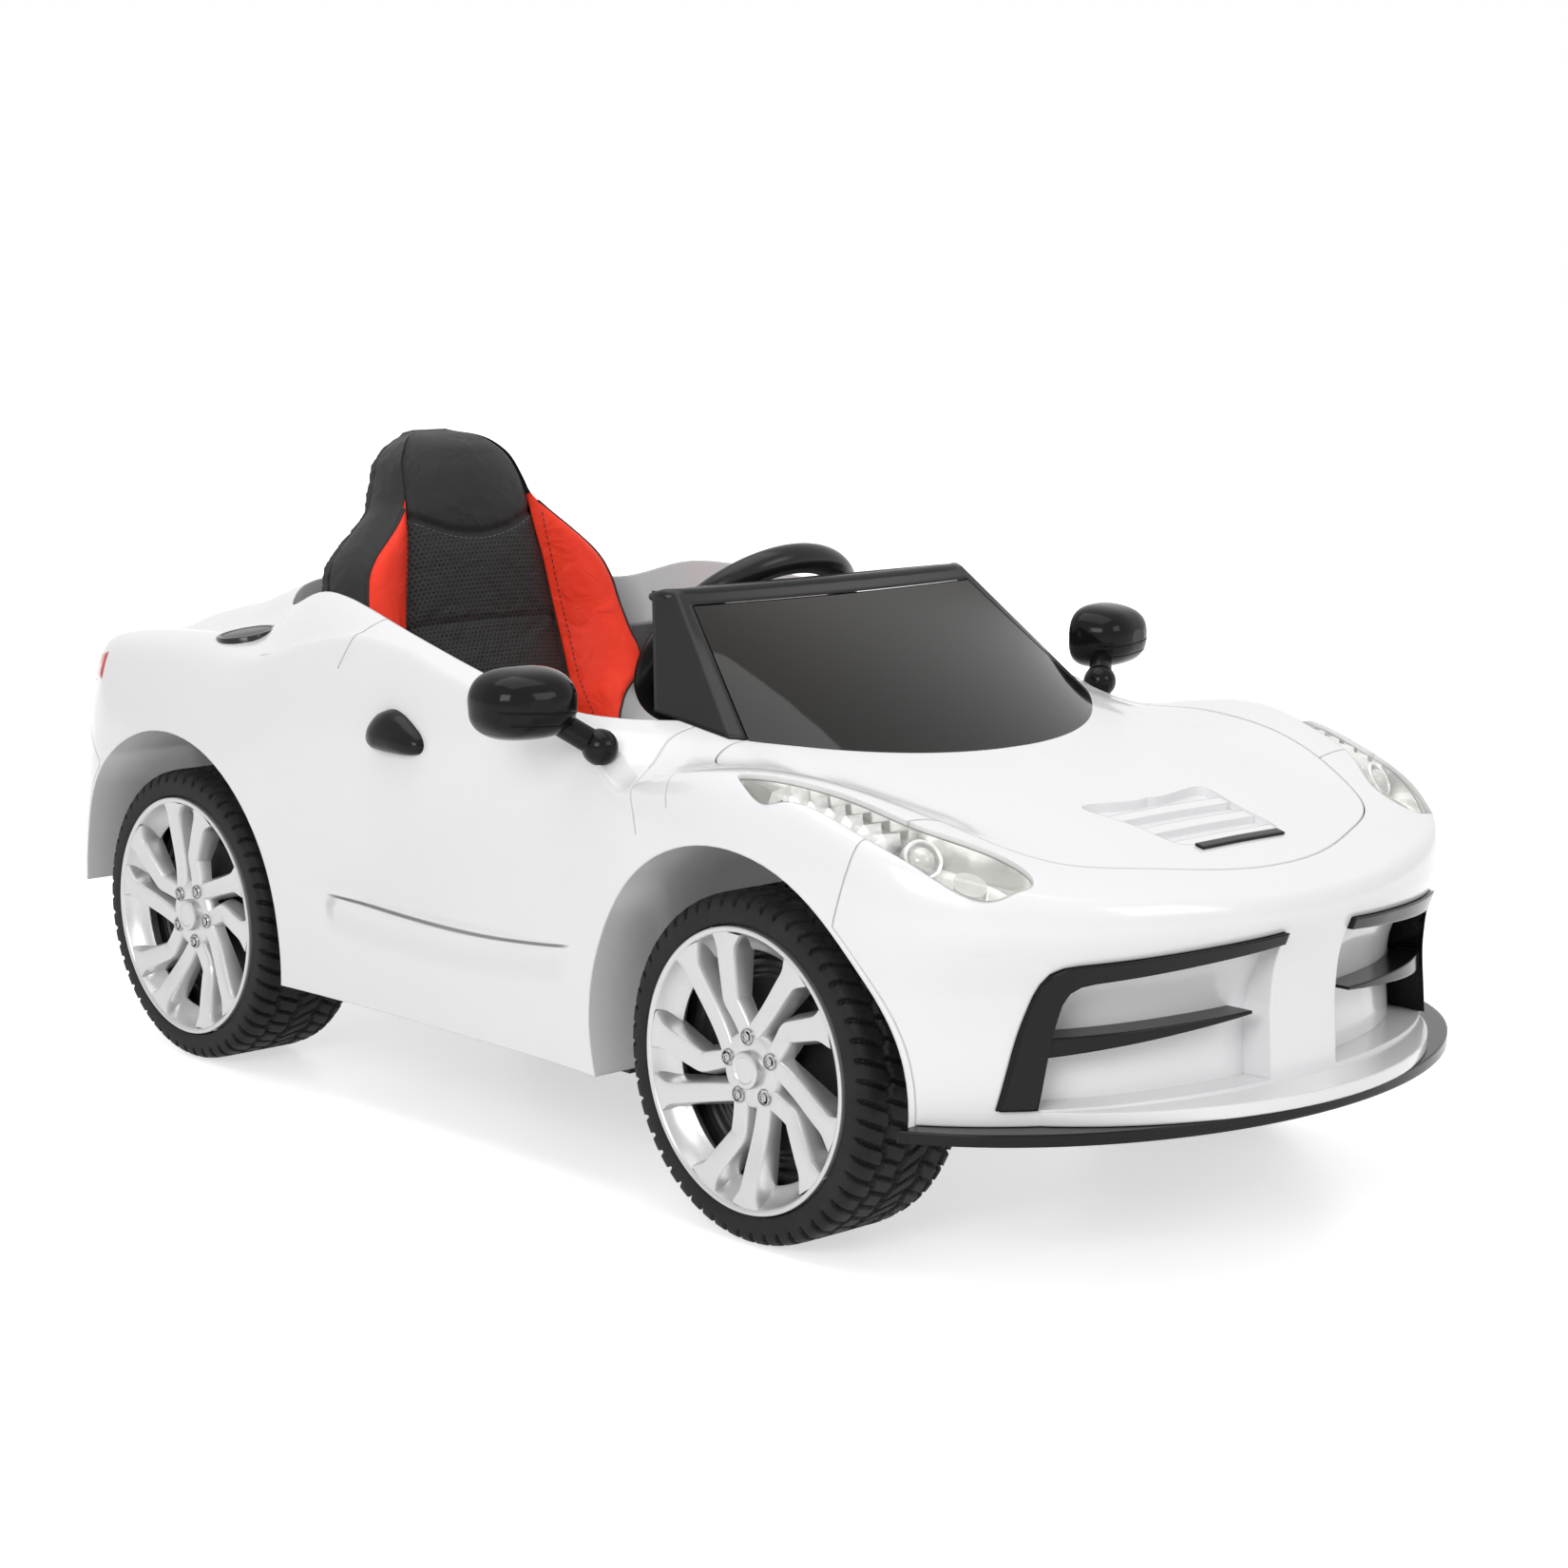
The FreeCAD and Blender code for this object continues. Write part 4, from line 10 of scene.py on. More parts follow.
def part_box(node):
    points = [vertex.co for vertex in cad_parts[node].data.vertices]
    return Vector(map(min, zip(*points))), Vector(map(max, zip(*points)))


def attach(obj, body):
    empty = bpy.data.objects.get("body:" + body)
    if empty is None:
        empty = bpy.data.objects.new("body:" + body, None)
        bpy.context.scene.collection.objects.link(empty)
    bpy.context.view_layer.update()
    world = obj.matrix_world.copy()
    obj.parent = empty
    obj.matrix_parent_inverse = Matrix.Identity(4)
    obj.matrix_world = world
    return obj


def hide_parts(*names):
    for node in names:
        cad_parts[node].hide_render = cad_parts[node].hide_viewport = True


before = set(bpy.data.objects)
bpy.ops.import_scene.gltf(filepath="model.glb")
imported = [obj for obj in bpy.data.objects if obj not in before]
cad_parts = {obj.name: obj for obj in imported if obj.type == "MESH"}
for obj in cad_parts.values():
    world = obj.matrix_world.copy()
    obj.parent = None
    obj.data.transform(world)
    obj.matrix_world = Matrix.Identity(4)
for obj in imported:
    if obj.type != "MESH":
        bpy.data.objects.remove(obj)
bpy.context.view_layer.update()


# Floor pan, pedal bracket, gearboxes, control box and battery case: black moulded plastic with a fine
# spark-eroded grain, screwed together under the body.
class Finish:
    """One socket among a material's nodes. Arithmetic on it adds Math nodes, and node() adds any other."""

    def __init__(self, tree, socket=None):
        self.tree = tree
        self.socket = socket

    def node(self, kind, sockets=None, output=0, **settings):
        """Adds a node: its settings first, then values or links by socket."""
        made = self.tree.nodes.new("ShaderNode" + kind)
        for name, value in settings.items():
            setattr(made, name, value)
        for name, value in (sockets or {}).items():
            if isinstance(value, Finish):
                self.tree.links.new(value.socket, made.inputs[name])
            else:
                made.inputs[name].default_value = value
        return Finish(self.tree, made.outputs[output])

    def math(self, operation, *values):
        return self.node("Math", dict(enumerate(values)), operation=operation)

    def __add__(self, other):
        return self.math("ADD", self, other)

    def __sub__(self, other):
        return self.math("SUBTRACT", self, other)

    def __rsub__(self, other):
        return self.math("SUBTRACT", other, self)

    def __mul__(self, other):
        return self.math("MULTIPLY", self, other)

    def __truediv__(self, other):
        return self.math("DIVIDE", self, other)

    def __rtruediv__(self, other):
        return self.math("DIVIDE", other, self)

    __radd__ = __add__
    __rmul__ = __mul__

    def rise(self, low, high):
        """0 below low, 1 above high, and a smooth climb between them."""
        return self.node("MapRange", {0: self, 1: low, 2: high}, interpolation_type="SMOOTHSTEP")

    def mix(self, first, second):
        """The first colour where this value is 0 and the second where it is 1."""
        return self.node("Mix", {0: self, 6: first, 7: second}, output=2, data_type="RGBA")

    def feed(self, shader, name):
        self.tree.links.new(self.socket, shader.inputs[name])

    def emboss(self, shader, height, strength, distance, edge=0.0, samples=8):
        """Bumps the surface by a height, on corners that a bevel of radius edge rounds in the shading."""
        sockets = {"Strength": strength, "Distance": distance, "Height": height}
        if edge:
            sockets["Normal"] = self.node("Bevel", {"Radius": edge}, samples=samples)
        self.node("Bump", sockets).feed(shader, "Normal")


def new_finish(name, **sockets):
    """A material whose shader has these constants; gives it, its object coordinates and its shader."""
    made = bpy.data.materials.new(name)
    made.use_nodes = True
    shader = made.node_tree.nodes["Principled BSDF"]
    for socket, value in sockets.items():
        shader.inputs[socket.replace("_", " ")].default_value = value
    place = Finish(made.node_tree).node("TexCoord", output="Object")
    return made, place, shader


def dress(finish, *nodes):
    """Gives CAD pieces this finish."""
    for name in nodes:
        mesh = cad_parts[name].data
        mesh.materials.clear()
        mesh.materials.append(finish)


moulded_black, place, shader = new_finish("moulded_black", IOR=1.47, Specular_IOR_Level=0.35)
grain = place.node("TexNoise", {"Vector": place, "Scale": 1400.0, "Detail": 1.0})
cloud = place.node("TexNoise", {"Vector": place, "Scale": 14.0, "Detail": 3.0})
cloud.mix((0.016, 0.016, 0.017, 1), (0.028, 0.028, 0.029, 1)).feed(shader, "Base Color")
(0.44 + 0.14 * cloud).feed(shader, "Roughness")
place.emboss(shader, grain, 0.35, 0.0004, edge=0.0012, samples=4)
dress(moulded_black, "floor_pan", "pedal_bracket", "gearboxes", "control_box", "battery", "axle_bushes",
      "dashboard", "charge_socket", "pedal", "seat_shell")


# Axle beam, knuckles, tie rod, rear axle, column, nuts, motor cans and battery strap: zinc-plated steel,
# bolted or turned, with the faint mottle that plating leaves.
steel, place, shader = new_finish("zinc_steel", Metallic=1.0)
mottle = place.node("TexVoronoi", {"Vector": place, "Scale": 160.0})
haze = place.node("TexNoise", {"Vector": place, "Scale": 45.0, "Detail": 4.0})
mottle.rise(0.1, 0.7).mix((0.50, 0.50, 0.49, 1), (0.62, 0.62, 0.60, 1)).feed(shader, "Base Color")
(0.30 + 0.18 * haze).feed(shader, "Roughness")
place.emboss(shader, haze, 0.08, 0.0003, edge=0.0008, samples=4)
dress(steel, "front_axle_beam", "knuckle_left", "knuckle_right", "tie_rod", "rear_axle", "steering_column",
      "front_nut_left", "front_nut_right", "rear_nuts", "motors", "battery_strap")


# Wiring harness: copper wires in a black braided sleeve, laid along the floor from the control box to the
# motors and the dashboard and clipped down.
sleeve, place, shader = new_finish("wire_sleeve")
braid = place.node("TexVoronoi", {"Vector": place, "Scale": 620.0})
braid.rise(0.2, 0.6).mix((0.006, 0.006, 0.006, 1), (0.022, 0.022, 0.022, 1)).feed(shader, "Base Color")
(0.55 + 0.2 * braid).feed(shader, "Roughness")
place.emboss(shader, braid, 0.5, 0.0005)
dress(sleeve, "wiring_harness")


# Tyres: blow-moulded black plastic in one piece with the dish behind the spokes. The tread has wavy
# grooves round it, slanting cuts across its blocks, and a notch in the shoulder between blocks.
MILLIMETRE = 0.001
TYRE_BLOCKS = 54
TYRE_PITCH = 13.96
TYRE_GROOVE = 3.2
TYRE_GROOVES = [(238.0, 1.7), (217.0, 2.1), (196.0, 2.1), (177.0, 1.7)]
TYRE_PROFILE = [(98.4, 247.0), (98.4, 256.6), (99.2, 258.3), (101.5, 259.0), (107.0, 259.2),
                (112.0, 259.0), (115.2, 258.0), (117.6, 255.8), (119.2, 252.4), (119.8, 248.0),
                (120.0, 243.0), (120.0, 183.0), (119.5, 176.0), (118.0, 170.5), (115.0, 166.0),
                (110.5, 163.4), (105.0, 163.0)]
TYRE_BACK = [(105.0, 163.0), (104.4, 166.0), (104.4, 246.0)]
DISH_PROFILE = [(98.4, 247.0), (98.2, 232.0), (97.0, 228.4), (94.0, 228.0), (85.4, 228.0), (84.4, 228.6),
                (83.4, 229.8), (81.0, 230.2), (78.6, 229.8), (77.6, 228.6), (76.6, 228.0), (73.4, 228.0),
                (72.4, 228.6), (71.6, 229.8), (69.4, 230.2), (67.4, 229.8), (66.6, 228.6), (65.6, 228.0),
                (63.4, 228.0), (62.4, 228.6), (61.6, 229.8), (60.0, 230.2), (58.4, 229.8), (57.6, 228.6),
                (56.4, 228.0), (20.0, 228.0), (18.4, 228.8), (18.0, 230.5), (18.0, 232.4), (17.4, 233.0),
                (5.2, 233.0), (5.1, 232.0), (5.1, 164.0), (6.0, 163.0), (17.4, 163.0), (18.0, 164.0),
                (18.0, 221.0), (19.0, 222.0), (97.0, 222.0), (98.4, 220.6), (98.4, 164.0), (99.4, 163.0),
                (105.0, 163.0)]


def smooth_step(low, high, value):
    """Rises smoothly from 0 at low to 1 at high."""
    share = np.clip((value - low) / (high - low), 0, 1)
    return share * share * (3 - 2 * share)


def along(points, count):
    """Points evenly spaced along a line of corners, the corners' own number left free."""
    points = np.asarray(points, float)
    run = np.concatenate([[0], np.cumsum(np.linalg.norm(np.diff(points, axis=0), axis=1))])
    where = np.linspace(0, run[-1], count)
    return np.stack([np.interp(where, run, column) for column in points.T], -1)


def wheel_point(across, up, out, axle, side):
    """A point of a wheel seen from outside: across to the right, up, and out from the car's middle."""
    x = axle[0] - side * across * MILLIMETRE
    y = side * out * MILLIMETRE
    z = axle[1] + up * MILLIMETRE
    return np.stack(np.broadcast_arrays(x, y, z), -1)


def turned(profile, count, axle, side, turn=0.0):
    """A (radius, out) profile carried round the wheel's axle."""
    angle = turn + np.linspace(0, 2 * np.pi, count, endpoint=False)[None, :]
    radius, out = np.asarray(profile, float).T[:, :, None]
    return wheel_point(radius * np.sin(angle), radius * np.cos(angle), out, axle, side)


def tread(axle, side):
    """The tyre's outside: its profile turned round the axle, sunk where a groove runs. Grooves round the
    tread wave with the blocks, cuts across slant from row to row, and notches reach over the shoulder."""
    profile = along(TYRE_PROFILE, 84)
    radius, out = profile.T[:, :, None]
    angle = np.linspace(0, 2 * np.pi, TYRE_BLOCKS * 12, endpoint=False)[None, :]
    phase = angle * TYRE_BLOCKS / (2 * np.pi)
    on_tread = smooth_step(109.5, 114.5, radius)
    wave = 1.5 * np.sin(2 * np.pi * phase / 2)
    sunk = np.zeros(np.broadcast_shapes(radius.shape, phase.shape))
    for middle, half in TYRE_GROOVES:
        sunk = np.maximum(sunk, 1 - smooth_step(half - 0.9, half + 0.9, np.abs(out + wave - middle)))
    outer, second, third = (middle for middle, half in TYRE_GROOVES[:3])
    rows = [out > outer, out > second, out > third]
    slant = np.select(rows[1:], [0.030 * (out - outer), -0.045 * (out - second)], 0.040 * (out - third))
    row = np.select(rows, [0.0, 0.5, 0.2], 0.7)
    from_cut = np.abs((phase + row + slant) % 1 - 0.5) * TYRE_PITCH
    sunk = np.maximum(sunk, 1 - smooth_step(0.9, 2.1, TYRE_PITCH / 2 - from_cut))
    sunk = sunk * on_tread
    radius = radius - TYRE_GROOVE * sunk
    out = out - 2.0 * sunk * smooth_step(248, 256, out)
    return wheel_point(radius * np.sin(angle), radius * np.cos(angle), out, axle, side)


def piece(name, patches, finishes, body, sharp=38.0):
    """One mesh from grids of points. A patch is (points, closed down, closed across, finish number): each
    cell of its grid is a quad, and a closed direction joins its last row to its first."""
    corners, faces, numbers, first = [], [], [], 0
    for points, closed_down, closed_across, number in patches:
        index = first + np.arange(points.shape[0] * points.shape[1]).reshape(points.shape[:2])
        first += index.size
        if closed_down:
            index = np.vstack([index, index[:1]])
        if closed_across:
            index = np.hstack([index, index[:, :1]])
        quads = np.stack([index[:-1, :-1], index[:-1, 1:], index[1:, 1:], index[1:, :-1]], -1).reshape(-1, 4)
        corners.append(points.reshape(-1, 3))
        faces.append(quads)
        numbers.append(np.full(len(quads), number))
    mesh = bpy.data.meshes.new(name)
    mesh.from_pydata(np.vstack(corners).tolist(), [], np.vstack(faces).tolist())
    mesh.polygons.foreach_set("material_index", np.concatenate(numbers))
    work = bmesh.new()
    work.from_mesh(mesh)
    bmesh.ops.remove_doubles(work, verts=work.verts, dist=1e-6)
    bmesh.ops.recalc_face_normals(work, faces=work.faces)
    work.to_mesh(mesh)
    work.free()
    mesh.shade_smooth()
    mesh.set_sharp_from_angle(angle=math.radians(sharp))
    for finish in finishes:
        mesh.materials.append(finish)
    made = bpy.data.objects.new(name, mesh)
    bpy.context.scene.collection.objects.link(made)
    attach(made, body)
    return made


tyre_black, place, shader = new_finish("tyre_black", IOR=1.46, Specular_IOR_Level=0.2)
scuff = place.node("TexNoise", {"Vector": place, "Scale": 38.0, "Detail": 5.0, "Roughness": 0.6})
grain = place.node("TexNoise", {"Vector": place, "Scale": 1100.0, "Detail": 1.0})
scuff.rise(0.35, 0.75).mix((0.009, 0.009, 0.009, 1), (0.020, 0.0195, 0.019, 1)).feed(shader, "Base Color")
(0.46 + 0.22 * scuff).feed(shader, "Roughness")
place.emboss(shader, grain, 0.2, 0.0004)

dish_black, place, shader = new_finish("dish_black", IOR=1.46)
scuff = place.node("TexNoise", {"Vector": place, "Scale": 60.0, "Detail": 4.0})
scuff.mix((0.018, 0.018, 0.018, 1), (0.034, 0.034, 0.034, 1)).feed(shader, "Base Color")
(0.30 + 0.15 * scuff).feed(shader, "Roughness")

SIDES = {"left": 1, "right": -1}
WHEELS = [(end + "_" + name, side) for end in ("front", "rear") for name, side in SIDES.items()]
axles = {}
for wheel, side in WHEELS:
    low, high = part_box("tyre_" + wheel)
    axles[wheel] = np.array([(low.x + high.x) / 2, (low.z + high.z) / 2])
    patches = [(tread(axles[wheel], side), False, True, 0),
               (turned(TYRE_BACK, 96, axles[wheel], side), False, True, 0),
               (turned(DISH_PROFILE, 96, axles[wheel], side), False, True, 1)]
    tyre = piece("tyre_moulding_" + wheel, patches, [tyre_black, dish_black], "wheel_" + wheel)
    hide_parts("tyre_" + wheel)


# Hubcaps: silver-painted plastic pressed into the tyre. Five pairs of spokes, one of each pair kinked, run
# from a lug nut near the middle out to a rolled lip, over a hollow barrel; a round cap closes the middle.
RIM_PROFILE = [(98.0, 231.0), (98.0, 259.4), (97.6, 260.5), (96.6, 261.0), (95.2, 260.9), (94.0, 260.2),
               (93.2, 258.8), (91.6, 255.4), (89.0, 251.6), (86.0, 248.6), (83.2, 246.4), (81.2, 245.0),
               (80.2, 244.0), (80.0, 243.0), (80.8, 242.2), (90.0, 242.0), (91.0, 241.0), (91.0, 231.0)]
HUB_PROFILE = [(0.5, 253.0), (14.0, 253.0), (22.0, 252.8), (25.5, 251.8), (27.6, 249.4), (28.6, 246.0),
               (28.8, 242.0)]
SPOKE_BACK = 242.5
HUB_FACE, FACE_CLIMB = 252.4, 7.4
RIM_RADIUS = 98.0
CAP_PROFILE = [(0.2, 257.3), (8.6, 257.4), (9.6, 258.2), (11.4, 258.2), (12.4, 257.7), (13.0, 256.5),
               (13.0, 252.0)]
LUG_CUP = [(5.9, 251.6), (5.9, 253.6), (5.5, 254.2), (4.9, 254.2), (4.6, 253.7), (4.6, 251.8), (3.0, 251.8)]
LUG_NUT = [(3.5, 251.8), (3.5, 254.3), (3.0, 254.9), (1.9, 255.2), (1.7, 254.6), (0.1, 254.5)]
SPOKE_SIDE = [(1, 3.8, 0.0), (1, 2.9, 0.3), (1, 1.5, 0.75), (1, 0.6, 0.94), (1, 0.1, 0.985), (1, -0.8, 1.0)]
SPOKE_SECTION = SPOKE_SIDE + [(0, 0, 1.0)] + [(-way, -extra, depth) for way, extra, depth in SPOKE_SIDE[::-1]]


def on_rim(share, degrees):
    """Point of the wheel's face: a share of the rim's radius, degrees clockwise from the top."""
    angle = np.radians(degrees)
    return RIM_RADIUS * share * np.array([np.sin(angle), np.cos(angle)])


def spoke(corners, widths, axle, side):
    """A section with drafted sides and rounded edges, carried along a path whose kink is eased; the face
    climbs from the hub to the lip, and the ends flare where they run into the rim."""
    path = along(corners, 48)
    ease = np.array([1, 2, 3, 2, 1]) / 9
    padded = np.vstack([path[:1].repeat(2, 0), path, path[-1:].repeat(2, 0)])
    path = np.stack([np.convolve(column, ease, "valid") for column in padded.T], -1)
    forward = np.gradient(path, axis=0)
    forward /= np.linalg.norm(forward, axis=1, keepdims=True)
    sideways = np.stack([forward[:, 1], -forward[:, 0]], -1)
    share = np.linspace(0, 1, len(path))
    half = np.interp(share, [0, 0.55, 1], widths) / 2 + 6.0 * smooth_step(0.78, 1.0, share) ** 2
    radius = np.linalg.norm(path, axis=1)
    face = HUB_FACE + FACE_CLIMB * smooth_step(30, 92, radius)
    way, extra, depth = np.array(SPOKE_SECTION).T
    offset = way * half[:, None] + extra
    out = SPOKE_BACK + (face[:, None] - SPOKE_BACK) * depth
    points = path[:, None, :] + sideways[:, None, :] * offset[..., None]
    return wheel_point(points[..., 0], points[..., 1], out, axle, side)


def lug(profile, count, middle, axle, side):
    """A small (radius, out) profile turned about a lug nut's own middle."""
    angle = np.linspace(0, 2 * np.pi, count, endpoint=False)[None, :]
    radius, out = np.asarray(profile, float).T[:, :, None]
    across, up = middle[0] + radius * np.sin(angle), middle[1] + radius * np.cos(angle)
    return wheel_point(across, up, out, axle, side)


rim_silver, place, shader = new_finish("rim_silver", Metallic=0.8, Coat_Roughness=0.25)
flake = place.node("TexVoronoi", {"Vector": place, "Scale": 2600.0})
drift = place.node("TexNoise", {"Vector": place, "Scale": 24.0, "Detail": 3.0})
flake.rise(0.0, 0.8).mix((0.46, 0.46, 0.46, 1), (0.56, 0.56, 0.56, 1)).feed(shader, "Base Color")
(0.27 + 0.10 * drift).feed(shader, "Roughness")
(0.25 + 0.1 * drift).feed(shader, "Coat Weight")
place.emboss(shader, flake, 0.06, 0.0002)
lug_chrome, place, shader = new_finish("lug_chrome", Metallic=1.0)
haze = place.node("TexNoise", {"Vector": place, "Scale": 300.0})
haze.mix((0.30, 0.30, 0.30, 1), (0.44, 0.44, 0.44, 1)).feed(shader, "Base Color")
(0.16 + 0.12 * haze).feed(shader, "Roughness")

for wheel, side in WHEELS:
    axle = axles[wheel]
    start = 0.0 if wheel.startswith("front") else 30.0
    patches = [(turned(RIM_PROFILE, 144, axle, side), True, True, 0)]
    patches.append((turned(HUB_PROFILE, 80, axle, side), False, True, 0))
    patches.append((turned(CAP_PROFILE, 64, axle, side), False, True, 0))
    for turn in start + 72.0 * np.arange(5):
        root = on_rim(0.21, turn - 6)
        kinked = [root * 0.6, root, on_rim(0.50, turn - 23), on_rim(0.97, turn - 10.5)]
        straight = [root * 0.6, root, on_rim(0.97, turn + 34)]
        patches.append((spoke(kinked, (10, 13.5, 16), axle, side), False, False, 0))
        patches.append((spoke(straight, (10, 12.5, 15), axle, side), False, False, 0))
        middle = on_rim(0.225, turn - 6)
        patches.append((lug(LUG_CUP, 24, middle, axle, side), False, True, 1))
        patches.append((lug(LUG_NUT, 6, middle, axle, side), False, True, 1))
    finishes = [rim_silver, lug_chrome]
    hubcap = piece("hubcap_moulding_" + wheel, patches, finishes, "wheel_" + wheel, sharp=30.0)
    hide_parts("hubcap_" + wheel)


# Body shell, hood and bumpers: glossy white ABS panels, injection moulded and screwed together from
# inside, with a faint ripple in the gloss and softly rounded edges at every seam. A crease runs low along
# each door, and the shadow under its lip is painted into the colour as a thin dark grey line.
CREASE_LEVEL, CREASE_TILT, CREASE_CURVE = 0.1648, 0.03, 0.42
CREASE_DEPTH = 0.006
body_white, place, shader = new_finish("body_white", IOR=1.5, Coat_Weight=0.35, Coat_Roughness=0.04)
tint = place.node("TexNoise", {"Vector": place, "Scale": 5.0, "Detail": 2.0})
ripple = place.node("TexNoise", {"Vector": place, "Scale": 90.0, "Detail": 2.0})
dust = place.node("TexNoise", {"Vector": place, "Scale": 260.0, "Detail": 4.0})
ahead, across, height = (place.node("SeparateXYZ", {0: place}, output=axis) for axis in range(3))
below = CREASE_LEVEL + CREASE_TILT * ahead + CREASE_CURVE * ahead * ahead - height
on_side = across.math("ABSOLUTE", across).rise(0.235, 0.25)
door = ahead.rise(-0.160, -0.145) * (1 - ahead.rise(0.125, 0.145)) * on_side
crease = (below.rise(-0.0012, 0.0012) - below.rise(0.002, 0.030)) * door
# Painted shadow: a thin dark grey line painted along the crease, where the shadow under the lip falls.
painted_crease_shadow = (below.rise(-0.0018, -0.0006) - below.rise(0.0006, 0.0018)) * door
panel = tint.mix((0.80, 0.80, 0.81, 1), (0.83, 0.83, 0.84, 1))
(0.6 * painted_crease_shadow).mix(panel, (0.25, 0.25, 0.255, 1)).feed(shader, "Base Color")
(0.16 + 0.08 * dust).feed(shader, "Roughness")
relief = 0.00002 * ripple + CREASE_DEPTH * crease
place.emboss(shader, relief, 1.0, 1.0, edge=0.0022)
dress(body_white, "body_shell", "hood", "front_bumper", "rear_bumper")


# Front splitter, grille frames and hood bar: gloss-black ABS, moulded on their own and clipped to the
# bumper and the hood from behind.
black_gloss, place, shader = new_finish("black_gloss", IOR=1.28)
swirl = place.node("TexNoise", {"Vector": place, "Scale": 120.0, "Detail": 5.0, "Roughness": 0.7})
swirl.mix((0.005, 0.005, 0.005, 1), (0.009, 0.009, 0.009, 1)).feed(shader, "Base Color")
(0.12 + 0.12 * swirl).feed(shader, "Roughness")
place.emboss(shader, swirl, 0.02, 0.0008, edge=0.0025)
dress(black_gloss, "front_splitter", "grille_trims", "hood_trim_bar")


# Door mirrors: gloss-black moulded shells on stalks that are screwed to the cowl, with two thin slots
# across the front. The shade inside the slots is painted into the colour, a little darker than the shell.
MIRROR_ACROSS, MIRROR_HEIGHT = 0.299, 0.352
MIRROR_SLOTS = [(0.0040, 0.031), (0.0125, 0.024)]
mirror_black, place, shader = new_finish("mirror_black", IOR=1.24)
swirl = place.node("TexNoise", {"Vector": place, "Scale": 120.0, "Detail": 5.0, "Roughness": 0.7})
across, height = (place.node("SeparateXYZ", {0: place}, output=axis) for axis in (1, 2))
outward = across.math("ABSOLUTE", across) - MIRROR_ACROSS
level = height - MIRROR_HEIGHT - 0.06 * outward
reach = outward.math("ABSOLUTE", outward)
slots = 0 * reach
for drop, half in MIRROR_SLOTS:
    from_slot = (level + drop).math("ABSOLUTE", level + drop)
    slots = slots + (1 - from_slot.rise(0.0005, 0.0011)) * (1 - reach.rise(half - 0.001, half + 0.001))
skin = swirl.mix((0.005, 0.005, 0.005, 1), (0.009, 0.009, 0.009, 1))
# Painted shade: the slots are painted darker than the shell, as the shade inside them; the bump also sinks
# them and they are made rougher.
slots.mix(skin, (0.001, 0.001, 0.001, 1)).feed(shader, "Base Color")
(0.08 + 0.1 * swirl + 0.4 * slots).feed(shader, "Roughness")
place.emboss(shader, -0.0012 * slots, 1.0, 1.0)
dress(mirror_black, "mirror_housings")


# Door handles: gloss-black half-egg grips of ABS, moulded on their own and clipped to the doors. They are
# fixed and only serve as grips.
HANDLE_OUTLINE = [(-102.5, 291), (-105.5, 300), (-99.5, 314), (-84.5, 323), (-70.5, 322), (-50.5, 312),
                  (-35.5, 302), (-34.5, 294), (-42.5, 290), (-72.5, 289), (-102.5, 291)]
HANDLE_PEAK = np.array([-79.0, 302.0])
HANDLE_PROUD = 14.0
HANDLE_SUNK = 1.5


def tree_of(*made):
    """Search tree of finished meshes."""
    corners, faces = [], []
    for each in made:
        first = len(corners)
        corners += [vertex.co.copy() for vertex in each.data.vertices]
        faces += [[first + index for index in polygon.vertices] for polygon in each.data.polygons]
    return BVHTree.FromPolygons(corners, faces)


def handle(tree, side):
    """Rings that shrink from the outline to the peak, each standing off the door by the height of a
    rounded dome, and one ring sunk a little into the door."""
    outline = along(HANDLE_OUTLINE, 73)[:-1]
    outline = np.mean([np.roll(outline, turn, 0) for turn in range(-5, 6)], 0)
    dome = [(share, HANDLE_PROUD * (1 - share ** 2.4) ** 0.5) for share in np.linspace(1, 0.01, 16)]
    rings = []
    for share, lift in [(1.0, -HANDLE_SUNK)] + dome:
        ring = HANDLE_PEAK + (outline - HANDLE_PEAK) * share
        points = []
        for x, z in ring * MILLIMETRE:
            hit = tree.ray_cast(Vector((x, side, z)), Vector((0, -side, 0)))[0]
            points.append((x, hit.y + side * lift * MILLIMETRE, z))
        rings.append(points)
    return np.array(rings)


door_tree = tree_of(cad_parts["body_shell"])
patches = [(handle(door_tree, side), False, True, 0) for side in SIDES.values()]
handles = piece("door_handle_grips", patches, [black_gloss], "car", sharp=70.0)
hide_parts("side_handles")


# Headlamps: a chromed bowl under a clear lens that lies flush with the fender. Chromed cells stepped like
# saw teeth fill the long tail, and a round projector in its ring sits in the wide front end.
LAMP_MIDDLE = [(370, 257, 8), (407, 250, 11), (444, 246.5, 13), (470, 242, 14)]
LAMP_CELLS = 7
PROJECTOR = np.array([460.0, 233.0])
PROJECTOR_PROFILE = [(13.6, -6.0), (13.6, 1.2), (13.0, 2.0), (11.8, 2.2), (11.0, 1.4), (10.2, -2.6),
                     (9.4, -3.2)]
PROJECTOR_DOME = [(9.4, -3.2), (8.6, 0.4), (6.8, 3.0), (4.2, 4.6), (1.6, 5.2), (0.05, 5.3)]
WHEELBASE_SHIFT = 27.5

